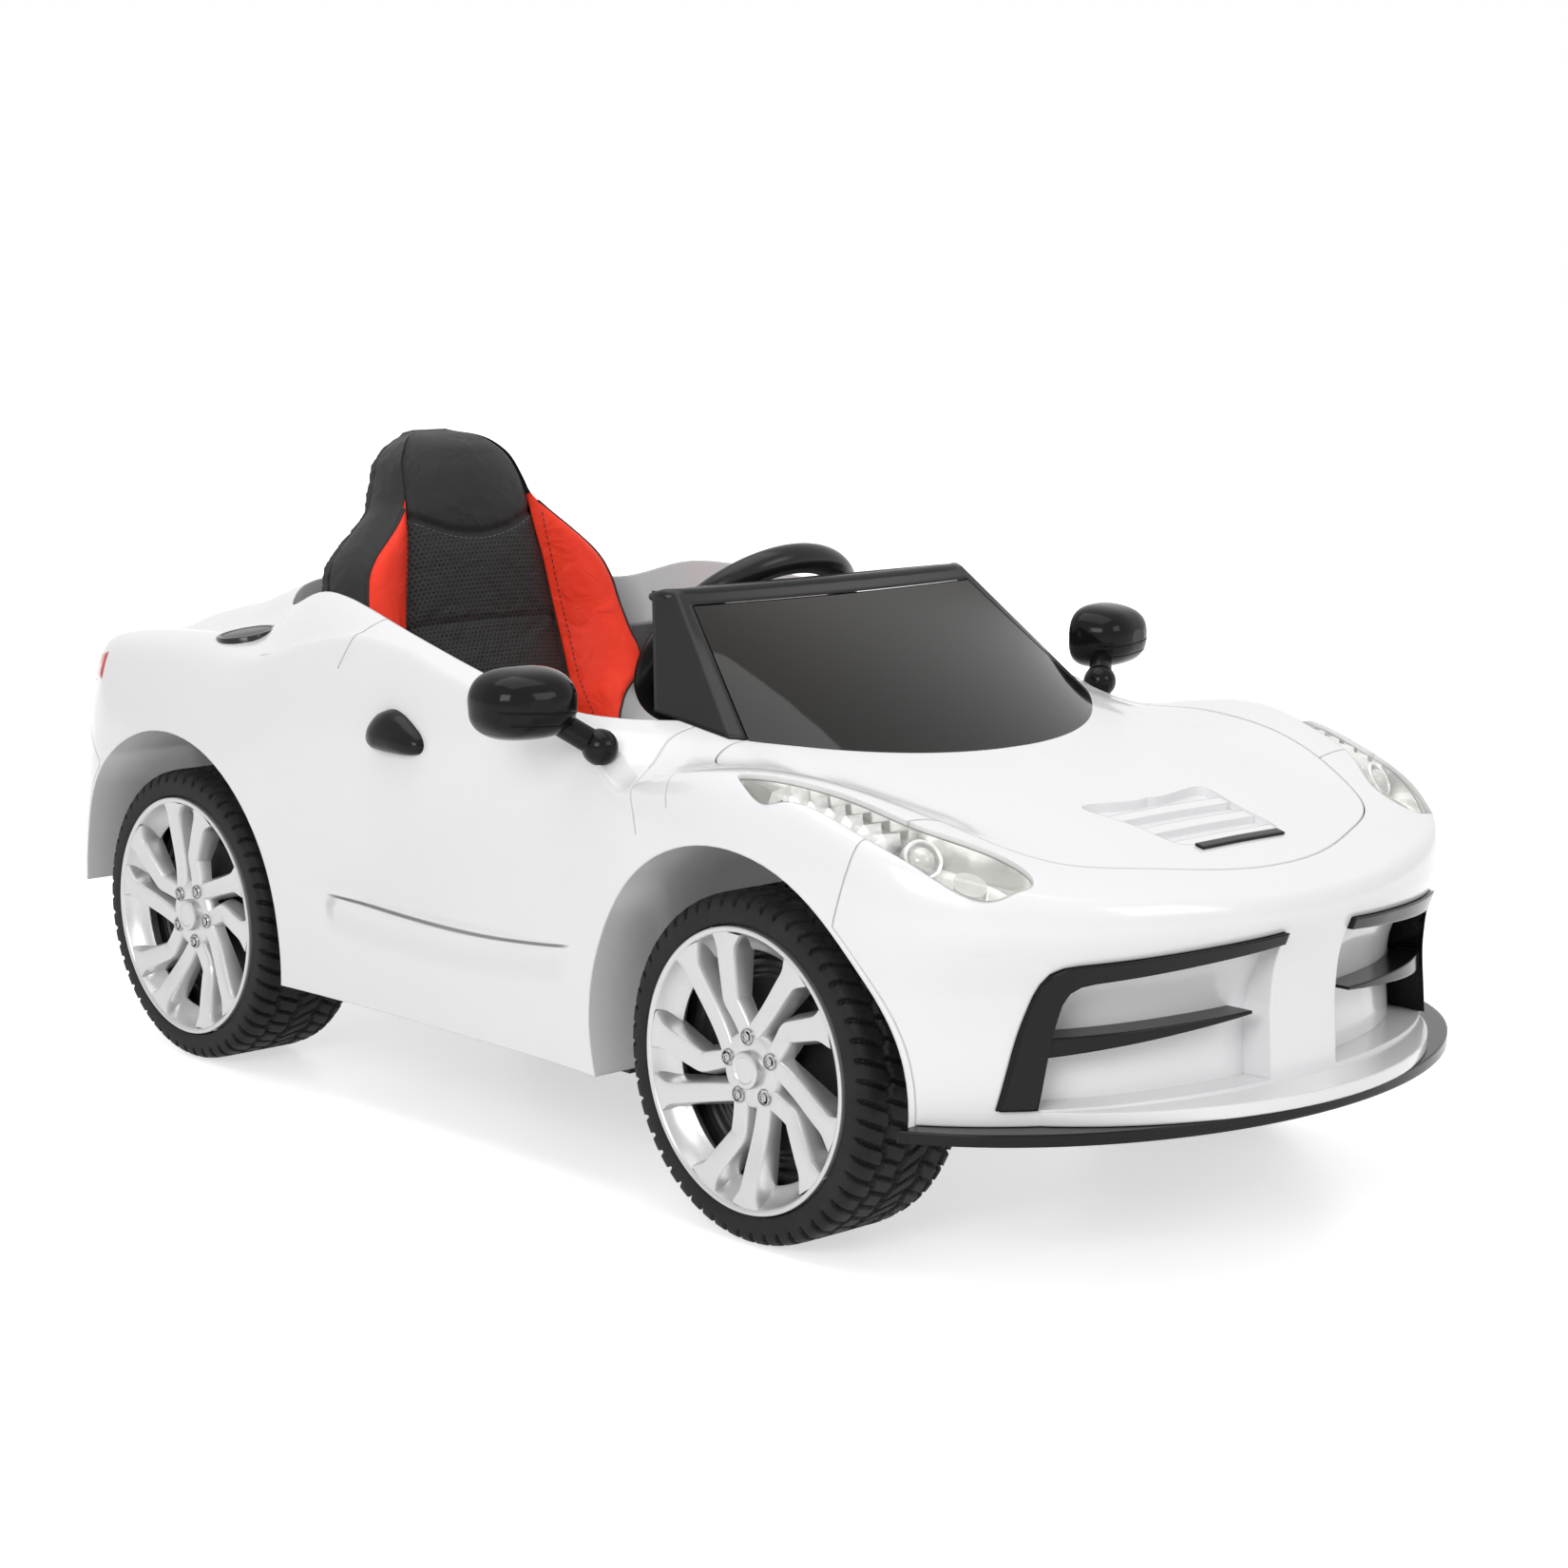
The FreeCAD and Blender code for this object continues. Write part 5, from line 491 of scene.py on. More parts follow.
bowl_chrome, place, shader = new_finish("bowl_chrome", Metallic=0.75)
streak = place.node("TexNoise", {"Vector": place, "Scale": 26.0, "Detail": 2.0})
facet = place.node("TexVoronoi", {"Vector": place, "Scale": 30.0})
streak.mix((0.84, 0.84, 0.83, 1), (0.95, 0.95, 0.94, 1)).feed(shader, "Base Color")
(0.14 + 0.1 * streak).feed(shader, "Roughness")
place.emboss(shader, facet, 0.25, 0.004)
dress(bowl_chrome, "headlamp_bowls")
bulb_white, place, shader = new_finish("bulb_white", Coat_Weight=1.0)
glow = place.node("TexNoise", {"Vector": place, "Scale": 200.0})
glow.mix((0.62, 0.62, 0.60, 1), (0.80, 0.80, 0.78, 1)).feed(shader, "Base Color")
(0.06 + 0.1 * glow).feed(shader, "Roughness")
dress(bulb_white, "headlamp_leds")
lens_clear, place, shader = new_finish("lens_clear", Metallic=1.0, Base_Color=(0.95, 0.95, 0.95, 1))
smear = place.node("TexNoise", {"Vector": place, "Scale": 60.0, "Detail": 3.0})
(0.03 + 0.05 * smear).feed(shader, "Roughness")
clear = place.node("BsdfTransparent", {"Color": (0.97, 0.97, 0.96, 1)})
front = 1 - place.node("NewGeometry", output="Backfacing")
shine = (0.03 + 0.7 * place.node("Fresnel", {"IOR": 1.4})) * front
mixed = place.node("MixShader", {0: shine, 1: clear})
place.tree.links.new(shader.outputs[0], mixed.socket.node.inputs[2])
place.tree.links.new(mixed.socket, place.tree.nodes["Material Output"].inputs[0])
dress(lens_clear, "headlamp_lenses")
cell_chrome, place, shader = new_finish("cell_chrome", Metallic=0.8)
haze = place.node("TexNoise", {"Vector": place, "Scale": 150.0})
haze.mix((0.84, 0.84, 0.84, 1), (0.95, 0.95, 0.95, 1)).feed(shader, "Base Color")
(0.26 + 0.08 * haze).feed(shader, "Roughness")


def lamp_cells(tree, side):
    """A strip along the lamp's middle line. Each cell falls away from the lens towards the rear, then steps
    up to the next; the steps lie aslant, and the strip keeps the lens's own height."""
    x, y, half = np.array(LAMP_MIDDLE).T
    rows = []
    for cell in range(LAMP_CELLS):
        for share, sunk in ((0.0, 12.0), (0.5, 8.5), (0.94, 5.0), (1.0, 12.0)):
            station = x[0] + (x[-1] - x[0]) * (cell + share) / LAMP_CELLS
            middle, reach = np.interp(station, x, y), np.interp(station, x, half)
            x_place, y_place = (station - WHEELBASE_SHIFT) * MILLIMETRE, side * middle * MILLIMETRE
            top = tree.ray_cast(Vector((x_place, y_place, 1)), Vector((0, 0, -1)))[0]
            way = np.linspace(-0.85, 0.85, 5)
            rows.append(np.stack([x_place + 6 * way * MILLIMETRE, y_place + side * reach * way * MILLIMETRE,
                                  top.z - (sunk + 4 * way) * MILLIMETRE], -1))
    return np.array(rows)


def about(profile, middle, axis, count):
    """A (radius, forward) profile turned about an axis through a middle point."""
    axis = np.array(axis) / np.linalg.norm(axis)
    side = np.cross(axis, (0, 0, 1))
    side /= np.linalg.norm(side)
    up = np.cross(side, axis)
    angle = np.linspace(0, 2 * np.pi, count, endpoint=False)[None, :, None]
    radius, forward = np.asarray(profile, float).T[:, :, None, None] * MILLIMETRE
    return middle + forward * axis + radius * (np.cos(angle) * side + np.sin(angle) * up)


lens_tree = tree_of(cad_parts["headlamp_lenses"])
patches = []
for side in SIDES.values():
    patches.append((lamp_cells(lens_tree, side), False, False, 0))
    x, y = PROJECTOR * MILLIMETRE * (1, side)
    top = lens_tree.ray_cast(Vector((x, y, 1)), Vector((0, 0, -1)))[0]
    middle = np.array([x, y, top.z - 0.010])
    axis = (0.8, 0.25 * side, 0.5)
    patches.append((about(PROJECTOR_PROFILE, middle, axis, 40), False, True, 0))
    patches.append((about(PROJECTOR_DOME, middle, axis, 40), False, True, 1))
cells = piece("headlamp_cells", patches, [cell_chrome, bulb_white], "car", sharp=24.0)


# Tail lamps: red acrylic strips set flush in the tail, with upright prisms moulded into their backs, and
# carried round the corner onto the fenders.
WRAP_AHEAD, WRAP_HEIGHT, WRAP_ACROSS = (-524, -494), (303, 334), 262
WRAP_DOME, WRAP_SUNK = 2.2, 0.8
lamp_red, place, shader = new_finish("lamp_red", IOR=1.49, Coat_Weight=1.0, Coat_Roughness=0.03)
prisms = place.node("TexWave", {"Vector": place, "Scale": 70.0}, bands_direction="Y")
prisms.mix((0.42, 0.006, 0.006, 1), (0.62, 0.016, 0.012, 1)).feed(shader, "Base Color")
(0.08 + 0.1 * prisms).feed(shader, "Roughness")
place.emboss(shader, prisms, 0.2, 0.0006)
dress(lamp_red, "tail_lamps")


def lamp_wrap(tree, side):
    """A lens that carries the strip round the corner onto the fender: a grid over the fender's side, domed
    off it in the middle and sunk into it along its rim."""
    rows = []
    for up in np.linspace(-1, 1, 13):
        row = []
        for along_side in np.linspace(-1, 1, 13):
            x, height = np.interp(along_side, [-1, 1], WRAP_AHEAD), np.interp(up, [-1, 1], WRAP_HEIGHT)
            place, normal = tree.find_nearest(Vector((x, side * WRAP_ACROSS, height)) * MILLIMETRE)[:2]
            rim = 1 - max(abs(up), abs(along_side))
            lift = WRAP_DOME * smooth_step(0.0, 0.35, rim) - WRAP_SUNK
            row.append(np.array(place + normal * lift * MILLIMETRE))
        rows.append(row)
    return np.array(rows)


tail_tree = tree_of(*(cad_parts[name] for name in ("body_shell", "tail_lamps", "rear_bumper")))
patches = [(lamp_wrap(tail_tree, side), False, False, 0) for side in SIDES.values()]
lamp_wraps = piece("tail_lamp_wraps", patches, [lamp_red], "car")


# Windscreen: a satin dark frame with side wings and a rolled top edge, screwed to the cowl, and a glossy
# smoked panel set in it. The panel's colour carries a painted reflection, lighter and warmer towards the top.
ROLL_RADIUS = 6.5
ROLL_PATH = [(97, -151), (106, -149), (112, -146), (116, -140), (118, -125), (121, -80), (122.5, -40),
             (123, 0)]
ROLL_HEIGHT = 412.5
dark_satin, place, shader = new_finish("dark_satin", IOR=1.33)
grain = place.node("TexNoise", {"Vector": place, "Scale": 1200.0, "Detail": 1.0})
cloud = place.node("TexNoise", {"Vector": place, "Scale": 20.0, "Detail": 3.0})
cloud.mix((0.010, 0.010, 0.010, 1), (0.017, 0.0165, 0.016, 1)).feed(shader, "Base Color")
(0.16 + 0.1 * cloud).feed(shader, "Roughness")
place.emboss(shader, grain, 0.12, 0.0003, edge=0.004)
dress(dark_satin, "windscreen_frame", "steering_wheel")
smoked, place, shader = new_finish("smoked_panel", IOR=1.36)
height = place.node("SeparateXYZ", {0: place}, output=2)
smear = place.node("TexNoise", {"Vector": place, "Scale": 40.0, "Detail": 4.0})
# Painted reflection: the smoked panel is painted lighter and warmer towards the top.
height.rise(0.32, 0.41).mix((0.006, 0.005, 0.004, 1), (0.011, 0.009, 0.007, 1)).feed(shader, "Base Color")
(0.03 + 0.05 * smear).feed(shader, "Roughness")
dress(smoked, "windscreen_panel")


def tube(path, radius, around=8):
    """A round cord along a path of points."""
    forward = np.gradient(path, axis=0)
    forward /= np.linalg.norm(forward, axis=1, keepdims=True)
    side = np.cross(forward, (0.37, 0.0, 0.93))
    side /= np.linalg.norm(side, axis=1, keepdims=True)
    up = np.cross(side, forward)
    turn = np.linspace(0, 2 * np.pi, around, endpoint=False)[None, :, None]
    return path[:, None] + radius * (np.cos(turn) * side[:, None] + np.sin(turn) * up[:, None])


half_roll = np.array(ROLL_PATH, float)
roll = along(np.vstack([half_roll, half_roll[-2::-1] * (1, -1)]), 120)
roll = np.column_stack([roll, np.full(len(roll), ROLL_HEIGHT)]) * MILLIMETRE
end = np.linspace(0.15, 1, 6) ** 0.5
swell = ROLL_RADIUS * MILLIMETRE * np.concatenate([end, np.ones(len(roll) - 2 * len(end)), end[::-1]])
patches = [(tube(roll, swell[:, None, None], 20), False, True, 0)]
screen_roll = piece("windscreen_roll", patches, [dark_satin], "car")


# Switches and small buttons: red and grey moulded caps with a soft satin skin, snapped onto their switches
# in the dashboard and the steering wheel.
BUTTONS = {
    "button_red": ((0.42, 0.012, 0.010, 1), (0.52, 0.02, 0.014, 1), "power_button", "horn_button"),
    "button_grey": ((0.16, 0.16, 0.165, 1), (0.22, 0.22, 0.225, 1), "music_button", "direction_rocker")}
for name, (dark, pale, *nodes) in BUTTONS.items():
    button, place, shader = new_finish(name, IOR=1.47)
    skin = place.node("TexNoise", {"Vector": place, "Scale": 900.0, "Detail": 2.0})
    skin.mix(dark, pale).feed(shader, "Base Color")
    (0.3 + 0.15 * skin).feed(shader, "Roughness")
    place.emboss(shader, skin, 0.1, 0.0003, edge=0.0012, samples=4)
    dress(button, *nodes)


# Fuel cap: a flat dark grey lid in a gloss-black ring, moulded in one and pressed onto the right rear
# fender as a trim.
LID_PROFILE = [(25.0, -12.0), (25.0, 3.0), (24.6, 3.7), (23.8, 4.0), (21.4, 4.0), (20.8, 3.6), (20.4, 2.8),
               (20.0, 2.8), (19.6, 3.5), (18.8, 3.9), (0.05, 4.2)]
LID_SLOPE = (0.055, 0.150)
low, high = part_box("fuel_cap")
cap_grey, place, shader = new_finish("cap_grey", IOR=1.47)
x, y = (low.x + high.x) / 2, (low.y + high.y) / 2
middle = place.node("VectorMath", {0: place, 1: (x, y, 0)}, operation="SUBTRACT")
flat = place.node("VectorMath", {0: middle, 1: (1, 1, 0)}, operation="MULTIPLY")
radius = place.node("VectorMath", {0: flat}, output="Value", operation="LENGTH")
lid = 1 - radius.rise(0.0195, 0.0205)
groove = radius.rise(0.0148, 0.0153) - radius.rise(0.0157, 0.0162)
lid.mix((0.008, 0.008, 0.008, 1), (0.050, 0.050, 0.052, 1)).feed(shader, "Base Color")
(0.16 + 0.2 * lid).feed(shader, "Roughness")
place.emboss(shader, 1 - groove, 1.0, 0.0012)
deck = door_tree.ray_cast(Vector((x, y, 1)), Vector((0, 0, -1)))[0]
axis = (-LID_SLOPE[0], -LID_SLOPE[1], 1.0)
lid_patch = (about(LID_PROFILE, np.array(deck), axis, 64), False, True, 0)
fuel_lid = piece("fuel_cap_lid", [lid_patch], [cap_grey], "car", sharp=40.0)
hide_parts("fuel_cap")


# Mirror glasses: chromed film on thin plastic plates, glued into the backs of the mirror shells so that they
# face the driver.
mirror_film, place, shader = new_finish("mirror_film", Metallic=1.0)
wipe = place.node("TexNoise", {"Vector": place, "Scale": 30.0, "Detail": 3.0})
wipe.mix((0.78, 0.79, 0.80, 1), (0.84, 0.85, 0.86, 1)).feed(shader, "Base Color")
(0.03 + 0.05 * wipe).feed(shader, "Roughness")
dress(mirror_film, "mirror_glasses")


# Seat back: foam on the moulded seat under one sewn leatherette cover. A perforated centre panel and a
# smooth headrest meet at a curved seam, plain gussets close the sides, and the rear is flat on the shell,
# whose rim is rounded.
SEAT_FOOT = np.array([-0.2515, 0.0, 0.178])
SEAT_LEAN = math.radians(22.0)
SEAT_UP = np.array([-math.sin(SEAT_LEAN), 0.0, math.cos(SEAT_LEAN)])
SEAT_OUT = np.array([math.cos(SEAT_LEAN), 0.0, math.sin(SEAT_LEAN)])
SEAT_ROWS = 140
SEAT_TOP = 353
BACK_HALF = [(0, 97), (72, 99), (92, 110), (114, 139), (140, 147), (193, 144), (230, 136), (246, 127),
             (267, 102), (285, 79), (311, 67), (328, 59), (343, 43), (353, 20)]
CENTRE_HALF = [(0, 76), (99, 78), (160, 80), (195, 75), (228, 70), (253, 66), (293, 64), (318, 58), (338, 43),
               (353, 14)]
CENTRE_DEPTH = [(0, 9), (103, 12), (160, 13), (195, 21), (228, 30), (253, 35), (273, 38), (303, 38),
                (325, 35), (339, 28), (348, 17), (353, 3)]
FACE_HALF = [(0, 90), (48, 92), (76, 95), (96, 108), (116, 134), (135, 140), (151, 135), (180, 132),
             (198, 130), (218, 124), (233, 113), (249, 95), (262, 81), (280, 66), (293, 64), (318, 58),
             (338, 43), (353, 14)]
BOLSTER_DEPTH = [(0, 40), (48, 45), (103, 46), (180, 42), (203, 44), (252, 44), (270, 41), (284, 38),
                 (303, 37), (325, 34), (339, 27), (348, 16), (353, 3)]
HEADREST_SEAM, HEADREST_SAG, HEADREST_HALF = 249, 19, 64
CROSS_SEAM = 178
SEAM_DIP = 4.5
HOLE_ROW, HOLE_STEP = 0.0036, 0.0042
BLACK_HIDE = [(0.010, 0.010, 0.010, 1), (0.019, 0.019, 0.019, 1)]
CENTRE_HIDE = [(0.020, 0.020, 0.020, 1), (0.032, 0.032, 0.032, 1)]
SHELL_VOXEL, SHELL_ROUNDING = 4.0, 10


def table(knots, value):
    """Line through the knots with its corners rounded: the mean over a short span on each side."""
    place, level = np.array(knots, float).T
    return np.interp(np.asarray(value)[..., None] + np.linspace(-6, 6, 9), place, level).mean(-1)


def seat_point(depth, across, height):
    """A point in the seat's own frame: out from the shell, to the left, and up along its back."""
    depth, across, height = np.broadcast_arrays(depth, across, height)
    place = depth[..., None] * SEAT_OUT + height[..., None] * SEAT_UP
    place[..., 1] += across
    return SEAT_FOOT + place * MILLIMETRE


def bell(value, width):
    """A rounded ridge of height 1 about 0."""
    return np.exp(-(value / width) ** 2)


def headrest_seam(across):
    """Height of the curved seam under the headrest."""
    return HEADREST_SEAM + HEADREST_SAG * (across / HEADREST_HALF) ** 2


def seat_grids():
    """Grids of the cover from shell to shell: left gusset, left bolster, centre. Depth in the centre is the
    pad's plus a crown, less a dip at each seam; a bolster climbs from its inner seam to a rounded outer
    edge; a gusset falls from there to the shell with a slight bulge."""
    height = np.linspace(0, SEAT_TOP, SEAT_ROWS)[:, None]
    centre, face, back = (table(knots, height) for knots in (CENTRE_HALF, FACE_HALF, BACK_HALF))
    deep, side = table(CENTRE_DEPTH, height), table(BOLSTER_DEPTH, height)
    rise = smooth_step(0, 26, height)
    share = np.linspace(-1, 1, 37)[None, :]
    across = centre * share
    depth = deep + (6 + 7 * bell(height - 300, 34)) * (1 - share ** 2) * smooth_step(SEAT_TOP, 322, height)
    depth = depth - SEAM_DIP * bell((1 - np.abs(share)) * centre, 5.0) * smooth_step(SEAT_TOP, 328, height)
    depth = depth - 3.6 * bell(height - headrest_seam(across), 3.4) - 1.6 * bell(height - CROSS_SEAM, 2.6)
    middle = (depth * rise, across, height + 0 * share)
    share = np.linspace(0, 1, 15)[None, :]
    wide = np.clip((face - centre) / 40, 0, 1)
    across = centre + (face - centre) * share
    start = deep - SEAM_DIP * smooth_step(SEAT_TOP, 328, height)
    climb = (side - start) * (1 - (1 - share) ** 1.5)
    depth = start + climb + wide * (7 * np.sin(np.pi * share) - 4 * share ** 6)
    bolster = (depth * rise, across, height + 0 * share)
    edge = depth[:, -1:]
    share = np.linspace(0, 1, 11)[None, :]
    across = face + (back - face) * share + 4 * np.sin(np.pi * share) * smooth_step(320, 270, height)
    gusset = ((0.4 + (edge - 0.4) * (1 - share) ** 0.8) * rise, across, height + 0 * share)
    return middle, bolster, gusset


def mirrored_grid(grid):
    depth, across, height = grid
    return depth, -across, height


def puff(made, pinned, pressure, most):
    """Blows a cover up like stuffed cloth, held at its seams, and keeps each point near where it was."""
    mesh = made.data
    flat = np.empty(len(mesh.vertices) * 3)
    mesh.vertices.foreach_get("co", flat)
    start = flat.reshape(-1, 3).copy()
    seams = made.vertex_groups.new(name="seams")
    seams.add(np.flatnonzero(pinned(start)).tolist(), 1.0, "REPLACE")
    cloth = made.modifiers.new("puff", "CLOTH")
    cloth.settings.quality = 5
    cloth.settings.mass = 0.2
    cloth.settings.tension_stiffness = cloth.settings.compression_stiffness = 12
    cloth.settings.bending_stiffness = 0.6
    cloth.settings.use_pressure = True
    cloth.settings.uniform_pressure_force = pressure
    cloth.settings.vertex_group_mass = "seams"
    cloth.settings.effector_weights.gravity = 0
    cloth.point_cache.frame_end = 20
    for step in range(1, 21):
        bpy.context.scene.frame_set(step)
    held = made.evaluated_get(bpy.context.evaluated_depsgraph_get())
    held.data.vertices.foreach_get("co", flat)
    moved = flat.reshape(-1, 3) - start
    length = np.linalg.norm(moved, axis=1, keepdims=True)
    moved *= np.minimum(1, most / np.maximum(length, 1e-9))
    made.modifiers.remove(cloth)
    made.vertex_groups.remove(seams)
    bpy.context.scene.frame_set(1)
    mesh.vertices.foreach_set("co", (start + moved).ravel())
    mesh.update()


def seat_frame(points):
    """The seat's own depth, across and height of points, in millimetres."""
    away = (points - SEAT_FOOT) / MILLIMETRE
    return away @ SEAT_OUT, away[:, 1], away @ SEAT_UP


def soften(made):
    made.modifiers.new("soft", "SUBSURF").levels = 1
    made.modifiers["soft"].render_levels = 1


def cover_seams(points):
    """True on the cover's seams, under the bolsters and against the shell."""
    depth, across, height = seat_frame(points)
    centre = table(CENTRE_HALF, height)
    seam = (np.abs(height - headrest_seam(across)) < 3) | (np.abs(height - CROSS_SEAM) < 2)
    outside = np.abs(across) > centre - 3
    return seam | (depth < 2) | (height < 20) | (outside & (height < 286)) | (height > 344)


def leatherette(name, dark, pale, rough=0.40):
    """Smooth grained leatherette; gives the material, its place and shader, its colour and grain height."""
    made, place, shader = new_finish(name, IOR=1.45, Specular_IOR_Level=0.35)
    cells = place.node("TexVoronoi", {"Vector": place, "Scale": 900.0}, feature="DISTANCE_TO_EDGE")
    cloud = place.node("TexNoise", {"Vector": place, "Scale": 22.0, "Detail": 3.0})
    crease = place.node("TexNoise", {"Vector": place, "Scale": 34.0, "Detail": 2.0, "Distortion": 1.2})
    colour = cloud.mix(dark, pale)
    (rough + 0.14 * cloud).feed(shader, "Roughness")
    grain = 0.00016 * cells.rise(0.0, 0.1) + 0.0011 * crease.rise(0.35, 0.7)
    return made, place, shader, colour, grain


seat_black, place, shader, colour, grain = leatherette("seat_black", *BLACK_HIDE)
colour.feed(shader, "Base Color")
place.emboss(shader, grain, 0.7, 1.0)

seat_centre, place, shader, colour, grain = leatherette("seat_centre", *CENTRE_HIDE, rough=0.42)
around = place.node("VectorMath", {0: place, 1: tuple(SEAT_FOOT)}, operation="SUBTRACT")
height = place.node("VectorMath", {0: around, 1: tuple(SEAT_UP)}, output="Value", operation="DOT_PRODUCT")
across = place.node("SeparateXYZ", {0: around}, output=1)
rows = height / HOLE_ROW
row = rows.math("FLOOR", rows)
column = across / HOLE_STEP + 0.5 * row.math("MODULO", row, 2.0)
off_row = (rows - row - 0.5) * HOLE_ROW
off_column = (column - column.math("FLOOR", column) - 0.5) * HOLE_STEP
reach = off_row.math("SQRT", off_row * off_row + off_column * off_column)
seam_sag = HEADREST_SAG / HEADREST_HALF ** 2 / MILLIMETRE
below_seam = ((HEADREST_SEAM - 3.5) * MILLIMETRE + seam_sag * across * across - height).rise(0.0, 0.002)
# Painted shade: each perforation is painted near-black, as the shade inside the hole; the bump also sinks it
# a little.
hole = (1 - reach.rise(0.0007, 0.0014)) * below_seam
above = (1 - below_seam).mix(colour, (0.015, 0.015, 0.015, 1))
hole.mix(above, (0.001, 0.001, 0.001, 1)).feed(shader, "Base Color")
place.emboss(shader, grain - 0.0005 * hole, 0.8, 1.0)

middle, bolster, gusset = seat_grids()
patches = [(seat_point(*middle), False, False, 1)]
sunk = 8 * np.sin(np.pi * np.linspace(0, 1, bolster[1].shape[1])) ** 0.5 * smooth_step(290, 270, bolster[2])
under = (np.maximum(bolster[0] - sunk, 0.4), bolster[1], bolster[2])
rear_share = np.linspace(-1, 1, 16)[None, :]
rear_depth, rear_half, rear_height = (layer[:, -1:] for layer in gusset)
rear = (rear_depth + 0 * rear_share, rear_half * rear_share, rear_height + 0 * rear_share)
for side_of in (np.array, mirrored_grid):
    patches.append((seat_point(*side_of(under)), False, False, 0))
    patches.append((seat_point(*side_of(gusset)), False, False, 0))
patches.append((seat_point(*rear), False, False, 0))
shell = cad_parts["seat_shell"]
even = shell.modifiers.new("even", "REMESH")
even.mode = "VOXEL"
even.voxel_size = SHELL_VOXEL * MILLIMETRE
even.use_smooth_shade = True
rounded = shell.modifiers.new("rounded", "SMOOTH")
rounded.factor, rounded.iterations = 0.5, SHELL_ROUNDING
seat_cover = piece("seat_back_cover", patches, [seat_black, seat_centre], "car", sharp=180.0)
puff(seat_cover, cover_seams, 3.0, 0.004)
soften(seat_cover)
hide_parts("seat_back_pad")


# Side bolsters: firm foam in red leatherette, sewn to the centre panel with a row of dark stitches and
# piped in black along the outer edge.
RED_HIDE = [(0.98, 0.036, 0.010, 1), (1.0, 0.048, 0.015, 1)]


def bolster_seams(points):
    """True on the bolster's edges and its hidden underside."""
    depth, across, height = seat_frame(points)
    centre, face = table(CENTRE_HALF, height), table(FACE_HALF, height)
    share = (np.abs(across) - centre) / np.maximum(face - centre, 1)
    start = table(CENTRE_DEPTH, height) - SEAM_DIP
    climb = start + (table(BOLSTER_DEPTH, height) - start) * (1 - (1 - np.clip(share, 0, 1)) ** 1.5)
    return (share < 0.1) | (share > 0.92) | (depth < climb - 1) | (height < 30) | (height > 270)


seat_red, place, shader, colour, grain = leatherette("seat_red", *RED_HIDE)
colour.feed(shader, "Base Color")
place.emboss(shader, grain, 0.7, 1.0)
tip = bolster[2][:, 0] < 284
patches = []
for side_of in (np.array, mirrored_grid):
    top = tuple(layer[tip] for layer in bolster)
    low = (np.maximum(top[0] - 0.75 * sunk[tip], 0.4), top[1], top[2])
    patches.append((seat_point(*side_of(top)), False, False, 0))
    patches.append((seat_point(*side_of(low)), False, False, 0))
bolsters = piece("seat_bolster_covers", patches, [seat_red], "car", sharp=180.0)
puff(bolsters, bolster_seams, 3.0, 0.004)
soften(bolsters)
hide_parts("seat_bolsters")


# Piping and stitches of the seat cover: a black cord round each bolster's outer edge, and thread that
# lies in short runs along the seams.
def on_cover(tree, across, height, lift):
    """Points of the cover at places across and up the back, lifted a little off it."""
    found = []
    for a, h in zip(across, height):
        hit = tree.ray_cast(Vector(seat_point(120.0, a, h)), Vector(-SEAT_OUT))[0]
        found.append(np.array(hit) + lift * MILLIMETRE * SEAT_OUT)
    return np.array(found)


def stitches(points, number, thick):
    """One short spindle of thread on each pair of neighbouring points."""
    made = []
    for first, last in zip(points[0::2], points[1::2]):
        path = first + (last - first) * np.array([0.0, 0.15, 0.5, 0.85, 1.0])[:, None]
        path[1:4] += 0.25 * MILLIMETRE * SEAT_OUT
        spindle = thick * MILLIMETRE * np.array([0.2, 1, 1, 1, 0.2])
        made.append((tube(path, spindle[:, None, None], 6), False, True, number))
    return made


cover_tree = tree_of(seat_cover, bolsters)
thread_dark, place, shader = new_finish("thread_dark", Roughness=0.7)
fibre = place.node("TexNoise", {"Vector": place, "Scale": 2500.0})
fibre.mix((0.020, 0.006, 0.005, 1), (0.050, 0.012, 0.010, 1)).feed(shader, "Base Color")
thread_pale, place, shader = new_finish("thread_pale", Roughness=0.6)
fibre = place.node("TexNoise", {"Vector": place, "Scale": 2500.0})
fibre.mix((0.05, 0.05, 0.05, 1), (0.22, 0.22, 0.22, 1)).feed(shader, "Base Color")
patches = []
for side in SIDES.values():
    height = np.linspace(34, 274, 97)
    edge = on_cover(cover_tree, side * (table(FACE_HALF, height) - 0.6), height, -0.4)
    patches.append((tube(edge, 1.5 * MILLIMETRE), False, True, 0))
    height = np.repeat(np.arange(60, 262, 5.0), 2) + np.tile([0.0, 3.3], 41)
    inner = side * (table(CENTRE_HALF, height) + 6)
    patches += stitches(on_cover(cover_tree, inner, height, 0.1), 1, 0.4)
across = np.repeat(np.arange(-61, 60, 5.0), 2) + np.tile([0.0, 3.3], 25)
patches += stitches(on_cover(cover_tree, across, headrest_seam(across) - SEAM_DIP, 0.1), 2, 0.38)
across = np.repeat(np.arange(-72, 71, 5.0), 2) + np.tile([0.0, 3.3], 29)
patches += stitches(on_cover(cover_tree, across, CROSS_SEAM + 2.5 + 0 * across, 0.1), 1, 0.38)
sewing = piece("seat_piping_and_thread", patches, [seat_black, thread_dark, thread_pale], "car")


